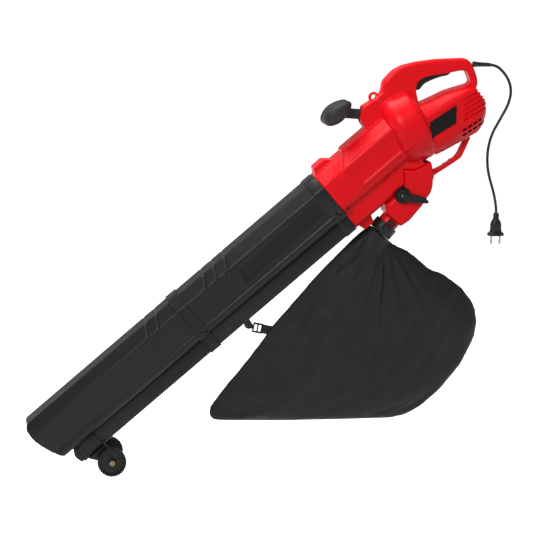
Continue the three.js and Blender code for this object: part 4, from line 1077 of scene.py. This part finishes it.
# ---------- controls ----------
def controls():
    body = prism(rounded(TRIGGER, 3), -TRIGGER_HALF, TRIGGER_HALF, 2.5, steps=4)
    cut(body, prism(disc(TRIGGER_PIVOT_U, TRIGGER_PIVOT_V, 2.8), -FAR_OUT, FAR_OUT))
    for k in range(7):
        u = 300 + 8 * k
        v = float(np.interp(u, [294, 308, 317, 332, 347, 358], [68.5, 71.4, 69.9, 65.5, 59.7, 53.1]))
        cut(body, prism(disc(u, v - 0.7, 1.1, 16), -TRIGGER_HALF + 2, TRIGGER_HALF - 2))
    placed(body, "finger_trigger", "trigger", "black_plastic", "trigger")
    coil = [(299 + 3.6 * math.cos(t), 3.6 * math.sin(t), 91.8 + 23.4 * t / (14 * math.pi))
            for t in np.linspace(0, 14 * math.pi, 170)]
    placed(sweep(coil, 0.6, 8), "return_spring", "root", "steel", "trigger_spring")


# ---------- auxiliary handle ----------
def aux_handle():
    h = AUX_GRIP_HALF
    half = [(18.2, 0), (18.6, 8), (19, 18), (18.8, 26), (17.6, 33), (15.2, 38.4), (11.4, 42), (6, 43.7)]
    places = np.linspace(0, 43.7, 56)
    radii = np.interp(places, [y for _, y in half], [r for r, _ in half])
    # A shallow ring on each side of the middle marks the joint with the arm.
    radii = radii - 0.8 * np.exp(-((places - 11.5) / 0.7) ** 2)
    side_half = [(float(r), float(y)) for r, y in zip(radii, places)]
    profile = [(0, -h)] + [(r, -y) for r, y in side_half[:0:-1]] + side_half + [(0, h)]
    knob = Matrix.Translation((AUX_GRIP_U, 0, AUX_GRIP_V)) @ Matrix.Diagonal((AUX_STRETCH, 1, 1, 1))
    grip = lathe(profile, 96, axis="y")
    places, _ = arrays(grip)
    # The knob narrows towards its arm.
    places[:, 2] *= 1 - 0.22 * smoothstep(-6, 19, places[:, 0])
    grip.data.vertices.foreach_set("co", places.ravel())
    grip.data.transform(knob)
    along = Vector((AUX_GRIP_U - AUX_U, AUX_GRIP_V - AUX_V)).normalized()
    side = Vector((-along.y, along.x)) * 10.5

    def arm_outline(end, share):
        a = Vector((AUX_U, AUX_V))
        b = Vector((AUX_GRIP_U, AUX_GRIP_V)) + along * end
        return [tuple(p) for p in (a - side * share, a + side * share, b + side * share, b - side * share)]

    core_room = lathe(rod(10.3, -h + 11.7, h - 11.7), 48, axis="y", at=(AUX_GRIP_U, 0, AUX_GRIP_V))
    cut(grip, core_room, prism(arm_outline(1, 1.04), -9.3, 9.3))
    placed(grip, "front_grip", "aux_handle", "soft_grip", "aux_grip")
    arm = prism(disc(AUX_U, AUX_V, 12), -9, 9, 1)
    add(arm, prism(arm_outline(0, 1), -9, 9, 1),
        lathe(rod(10, -h + 12, h - 12, 0.6), 48, axis="y", at=(AUX_GRIP_U, 0, AUX_GRIP_V)))
    cut(arm, prism(disc(AUX_U, AUX_V, 4.3), -FAR_OUT, FAR_OUT))
    placed(arm, "front_handle_arm", "aux_handle", "soft_grip", "aux_arm")


# ---------- wheels ----------
def wheel(name, node, body, side):
    y0, y1, r = WHEEL_INNER, WHEEL_INNER + WHEEL_WIDTH, WHEEL_RADIUS
    rim = r - 6

    def tread(angle, radius):
        return -1.1 * (math.cos(angle * 30) > 0.35) if radius > r - 1.2 else 0

    tyre = lathe([
        (rim, y0 + 1.2), (rim + 1, y0), (r - 2.4, y0), (r - 0.6, y0 + 1.4), (r, y0 + 2.6), (r, y0 + 7.6),
        (r - 1.3, y0 + 8), (r - 1.3, y0 + 9), (r, y0 + 9.4), (r, y1 - 2.6), (r - 0.6, y1 - 1.4),
        (r - 2.4, y1), (rim + 1, y1), (rim, y1 - 1.2),
    ], 240, axis="y", closed=True, wave=tread)
    hub = lathe(pipe(4.3, 9, y0, y1, 0.8), 48, axis="y", closed=True)
    web = lathe(pipe(8.5, rim + 0.6, y0 + 5.5, y1 - 5.5, 0.3), 48, axis="y", closed=True)
    made = add(tyre, web, hub)
    waist = rim * 0.6
    rib = [(7.5, -3.6), (waist, -2.2), (rim + 1, -3.8), (rim + 1, 3.8), (waist, 2.2), (7.5, 3.6)]
    for i in range(4):
        spoke = prism(rib, y0 + 4, y1 - 3, 0.9)
        spoke.data.transform(Matrix.Rotation(i * math.pi / 2, 4, "Y"))
        add(made, spoke)
    cut(made, lathe(rod(4.3, y0 - 5, y1 + 5), 32, axis="y"))
    if side < 0:
        made.data.transform(Matrix.Rotation(math.pi, 4, "Z"))
    made.data.transform(Matrix.Translation((WHEEL_U, 0, WHEEL_V)) @ Matrix.Rotation(0.35, 4, "Y"))
    placed(made, name, body, "black_plastic", node)


def wheel_screw(name, node, side):
    end = WHEEL_INNER + WHEEL_WIDTH
    head = lathe([(0, 0.85), (6.5, 0.85), (6.5, 2.6), (6, 3.4), (4.6, 3.8), (0, 3.8)], 40, axis="y")
    cut(head, prism(disc(0, 0, 3.9, 6), 1.4, 5))
    head.data.transform(Matrix.Translation((WHEEL_U, side * end, WHEEL_V))
                        @ (Matrix.Rotation(math.pi, 4, "Z") if side < 0 else Matrix.Identity(4)))
    placed(head, name, "root", "brass", node)


def wheel_bracket():
    """A saddle under the blow tube, with a ribbed clamp and two legs."""
    section = rounded(BLOW, 10, 8)
    shell = run(grown(section, GAP + 2.4), -765, -712, 0.6)
    for u in (-765, -753, -728, -714.6):
        add(shell, run(grown(section, GAP + 3.5), u, u + 2.6, 0.6))
    cut(shell, run(grown(section, GAP), -790, -690), prism(box2(-800, -32, -690, 30), -FAR_OUT, FAR_OUT))
    bottom = BLOW_TOP - BLOW_HEIGHT - GAP
    leg = [
        (-757, bottom - 1), (WHEEL_U - 10, WHEEL_V + 2), (WHEEL_U - 6, WHEEL_V - 8),
        (WHEEL_U + 6, WHEEL_V - 8), (WHEEL_U + 10, WHEEL_V + 2), (-710, bottom - 1),
    ]
    for y in (-36, 24):
        add(shell, prism(rounded(leg, 3), y, y + 12, 0.8))
    # Each side is clamped by two small screw bosses.
    for u in (-759, -718.5):
        add(shell, prism(disc(u, -38, 3.4), -41.5, -36.5, 0.6), prism(disc(u, -38, 3.4), 36.5, 41.5, 0.6))
        cut(shell, prism(disc(u, -38, 1.5), -44, -39.5), prism(disc(u, -38, 1.5), 39.5, 44))
    cut(shell, prism(disc(WHEEL_U, WHEEL_V, 4.3), -FAR_OUT, FAR_OUT))
    placed(shell, "wheel_saddle", "root", "black_plastic", "wheel_bracket")


def wheels():
    wheel_bracket()
    for side, name in ((-1, "near"), (1, "far")):
        wheel(f"{name}_wheel", f"wheel_{name}", f"wheel_{name}", side)
        wheel_screw(f"{name}_wheel_screw", f"wheel_screw_{name}", side)


# ---------- small carried-over parts with softened edges ----------
def refined(node, name, slot, body, width=0.5):
    """The frame's own shape of a small part, with its edges rounded."""
    twin = copied(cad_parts[node], name)
    twin.data.transform(Matrix.Scale(1 / MM, 4))
    form = bmesh.new()
    form.from_mesh(twin.data)
    bmesh.ops.remove_doubles(form, verts=form.verts, dist=1e-3)
    form.to_mesh(twin.data)
    form.free()
    bevelled(twin, width)
    return placed(twin, name, body, slot, node, matrix=WORLD)


def small_parts():
    refined("hook_lug", "strap_lug", "black_plastic", "root", 0.5)
    refined("bag_hook", "strap_hook", "black_plastic", "bag", 0.4)
    refined("strap_buckle", "buckle", "black_plastic", "bag", 0.45)
    refined("bag_collar", "neck_collar", "black_plastic", "bag", 0.5)
    refined("bag_latch", "latch_lever", "black_plastic", "latch", 0.45)


# ---------- bag ----------
BAG_OUTLINE = [
    (-76, -374), (-58, -385), (-38, -392), (-14, -410), (17, -437), (45, -446), (89, -478), (117, -514),
    (127, -555), (119, -594), (92, -650), (45, -707), (4, -743), (-28, -761), (-61, -768.5), (-170, -769),
    (-304, -769), (-458, -766), (-468, -753), (-467, -738), (-439, -699), (-394, -645), (-352, -590),
    (-333, -561), (-285, -506), (-228, -440), (-186, -398), (-152, -364), (-119, -338),
]
BAG_CENTRE = Vector((-150, -610))
BAG_HALF = 45
NECK = Vector((-92, -356))
# The pleats that fan out from the neck: direction, width, depth and reach.
PLEATS = [
    (-0.78, 0.05, 2.6, 260), (-0.52, 0.05, 4.2, 360), (-0.25, 0.04, 3.4, 300), (-0.02, 0.032, 5.5, 400),
    (0.24, 0.05, 2.8, 230), (0.52, 0.05, 3.4, 300), (0.86, 0.06, 2.4, 200),
]


def bag_form():
    """The sewn bag before it hangs: two panels that swell between their seams, and a round neck."""
    outline = resampled(rounded(BAG_OUTLINE, 8, 2), 9)
    scales = [1, 0.99, 0.97, 0.94, 0.9, 0.85, 0.79, 0.72, 0.64, 0.55, 0.45, 0.34, 0.22, 0.1]

    def ring(scale, sign):
        depth = (BAG_HALF - 6) * (1 - scale ** 2.6) ** 0.62
        cx, cz = BAG_CENTRE
        return [(cx + (x - cx) * scale, sign * depth, cz + (z - cz) * scale) for x, z in outline]

    rings = [ring(s, -1) for s in reversed(scales[1:])] + [ring(1, 0)] + [ring(s, 1) for s in scales[1:]]
    pillow = skin("bag", rings)
    spout_world = WORLD.inverted() @ TUBE @ SPOUT
    neck = lathe([(0, 2.9), (26.5, 2.9), (27, 12), (29, 30), (32, 55), (33, 80), (26, 112), (0, 130)], 48,
                 matrix=spout_world)
    return remeshed(merged(pillow, neck), 6)


def swollen(bag):
    """Cloth under a little pressure, held at its neck and along its seam, with its travel capped."""
    rest, _ = arrays(bag)
    group = bag.vertex_groups.new(name="held")
    spout = (TUBE @ SPOUT).inverted() @ WORLD
    along = np.array([(spout @ Vector(p)).x for p in rest])
    for index in np.nonzero(along < 40)[0]:
        group.add([int(index)], float(1 - max(0, along[index] - 20) / 20), "REPLACE")
    for index in np.nonzero((np.abs(rest[:, 1]) < 5) & (along >= 40))[0]:
        group.add([int(index)], 0.7, "REPLACE")
    bag.data.transform(WORLD)
    cloth = bag.modifiers.new("cloth", "CLOTH")
    cloth.settings.quality = 6
    cloth.settings.mass = 0.15
    cloth.settings.tension_stiffness = 25
    cloth.settings.compression_stiffness = 4
    cloth.settings.bending_stiffness = 0.25
    cloth.settings.vertex_group_mass = "held"
    cloth.settings.use_pressure = True
    cloth.settings.uniform_pressure_force = 1.2
    cloth.settings.effector_weights.gravity = 0.35
    cloth.collision_settings.use_self_collision = False
    frames = 22
    cloth.point_cache.frame_start = 1
    cloth.point_cache.frame_end = frames
    for step in range(1, frames + 1):
        bpy.context.scene.frame_set(step)
    apply(bag)
    bpy.context.scene.frame_set(1)
    bag.data.transform(WORLD.inverted())
    moved, _ = arrays(bag)
    travel = moved - rest
    length = np.linalg.norm(travel, axis=1)
    limit = 9.0
    travel *= (np.minimum(length, limit) / np.maximum(length, 1e-6))[:, None]
    bag.data.vertices.foreach_set("co", (rest + travel).ravel())
    bag.data.update()
    return bag


def bag_folds(x, y, z, normals):
    """Pleats that fan out from the neck, slack creases, and soft waves, kept back from the seam."""
    dx, dz = x - NECK.x, z - NECK.y
    reach = np.hypot(dx, dz)
    angle = np.arctan2(dx, -dz)
    fan = np.zeros(x.shape)
    for place, width, depth, far in PLEATS:
        fade = np.clip(1 - reach / far, 0, 1) * smoothstep(30, 80, reach)
        away = (angle - place + 0.0003 * reach) / width
        fan += depth * fade * (np.exp(-away ** 2) - 0.6 * np.exp(-(away - 1.7) ** 2))
    creases = groove(x, z, (30, -446), (-70, -650), 13) + 0.8 * groove(x, z, (70, -500), (-20, -700), 18)
    creases = creases + 0.8 * groove(x, z, (-190, -430), (-300, -640), 16)
    wave = np.sin(x * 0.021 + z * 0.013) * np.sin(z * 0.017 - x * 0.006)
    ripple = np.sin(x * 0.047 - z * 0.029 + 1.3) * np.sin(z * 0.041 + x * 0.012)
    flat = smoothstep(0.3, 0.8, np.abs(normals[:, 1]))
    inside = smoothstep(2, 22, depth_in(BAG_OUTLINE[::-1], x, z))
    return flat * inside * (1.5 * fan - 3.4 * creases + 2.6 * wave + 1.1 * ripple)


def bag():
    cloth = bag_form()
    swollen(cloth)
    # A sewn seam stands out as a narrow flange all round.
    seam = prism(rounded(grown(BAG_OUTLINE, -2.5), 8, 3), -2, 2)
    cloth = remeshed(merged(cloth, seam), 3.4)
    smoothed(cloth, 3, 0.5)
    sculpted(cloth, bag_folds)
    smoothed(cloth, 1, 0.4)
    placed(cloth, "collection_bag", "bag", "bag_fabric", "bag", matrix=WORLD, angle=80)


# Across and through the webbing, round its section.
STRAP_SECTION = [
    (-10, -0.7), (-5, -0.95), (0, -1), (5, -0.95), (10, -0.7), (10, 0.7), (0, 1), (-10, 0.7),
]


def bag_strap():
    """The webbing from the buckle to the bag's seam."""
    angle = math.radians(-52)
    down = Vector((math.cos(angle), 0, math.sin(angle)))
    across = Vector((-down.z, 0, down.x))
    start = Vector((-315, 0, -83))
    rings = []
    for d, lift in ((33.4, 0.2), (38, 0.5), (44, 0.2), (50, -0.2), (56, 0), (62, 0.2)):
        middle = start + down * d + Vector((0, lift, 0))
        rings.append([tuple(middle + across * w + Vector((0, t, 0))) for w, t in STRAP_SECTION])
    placed(skin("strap", rings), "strap_webbing", "bag", "webbing", "bag_strap")


# ---------- parts that keep the frame's own shape ----------
KEPT = {
    "steel": ["bearing_front", "bearing_rear", "motor_stator", "rotor_shaft", "trigger_pin", "wheel_axle",
              "flap_shaft", "impeller_nut", "aux_pivot_bolt"],
    "black_plastic": ["motor_plate", "cooling_fan", "power_switch", "changeover_flap"],
    "soft_grip": ["capacitor"],
    "brass": ["brush_near", "brush_far"],
    "copper": ["commutator", "armature_core"],
    "alloy": ["impeller"],
}


def kept_parts():
    for slot, names in KEPT.items():
        for name in names:
            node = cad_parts[name]
            node.data.materials.clear()
            node.data.materials.append(MATERIALS[slot])


# ---------- stage ----------
# Each lamp's name, place, size and power.
LAMPS = [
    ("key", (-1.7, -2.6, 1.7), 1.1, 68),
    ("fill", (2.2, -2.4, 0.6), 1.8, 6),
    ("top", (-1.1, 0.5, 2.1), 1.6, 62),
]
CAMERA_DISTANCE, CAMERA_SENSOR, VIEW_WIDTH = 4.49, 36, 1.146


def stage():
    floor = link("floor", [(-40, -40, 0), (40, -40, 0), (40, 40, 0), (-40, 40, 0)], [(0, 1, 2, 3)])
    floor.location.z = CAD_BOX[0].z - 0.05
    material, _, shader = started("floor", 0.9)
    shader.inputs["Base Color"].default_value = (0.93, 0.93, 0.93, 1)
    shader.inputs["Emission Color"].default_value = (1, 1, 1, 1)
    shader.inputs["Emission Strength"].default_value = 0.75
    floor.data.materials.append(material)
    # The floor shows as plain white and leaves the lighting of the machine to the lamps.
    floor.visible_diffuse = False
    world = bpy.data.worlds.new("studio")
    world.use_nodes = True
    world.node_tree.nodes["Background"].inputs["Color"].default_value = (1, 1, 1, 1)
    world.node_tree.nodes["Background"].inputs["Strength"].default_value = 0.41
    bpy.context.scene.world = world
    for name, place, size, power in LAMPS:
        light = bpy.data.lights.new(name, "AREA")
        light.size = size
        light.energy = power
        lamp = bpy.data.objects.new(name, light)
        lamp.location = place
        aim = Vector((-0.25, 0, -0.4)) - Vector(place)
        lamp.rotation_mode = "QUATERNION"
        lamp.rotation_quaternion = aim.to_track_quat("-Z", "Y")
        bpy.context.scene.collection.objects.link(lamp)
    bpy.context.scene.view_settings.view_transform = "Standard"


def camera():
    """The viewpoint: square to the machine's tilt, and turned 12.4 degrees about the tubes."""
    lift = math.radians(12.4)
    u = Vector((math.cos(TILT), 0, math.sin(TILT)))
    v = Vector((-math.sin(TILT), 0, math.cos(TILT)))
    y = Vector((0, 1, 0))
    seen_up = math.cos(lift) * v + math.sin(lift) * y
    back = math.sin(lift) * v - math.cos(lift) * y
    right = math.cos(TILT) * u - math.sin(TILT) * seen_up
    up = math.sin(TILT) * u + math.cos(TILT) * seen_up
    place = TUBE @ Vector((-200.6, 0, -9.9)) + back * CAMERA_DISTANCE
    data = bpy.data.cameras.new("camera")
    data.sensor_width = CAMERA_SENSOR
    data.lens = CAMERA_SENSOR * CAMERA_DISTANCE / VIEW_WIDTH
    eye = bpy.data.objects.new("camera", data)
    bpy.context.scene.collection.objects.link(eye)
    eye.matrix_world = Matrix((
        (right.x, up.x, back.x, place.x), (right.y, up.y, back.y, place.y),
        (right.z, up.z, back.z, place.z), (0, 0, 0, 1)))
    bpy.context.scene.camera = eye


stage()
camera()
tubes()
housing()
diverter()
changeover()
controls()
aux_handle()
wheels()
small_parts()
bag()
bag_strap()
kept_parts()
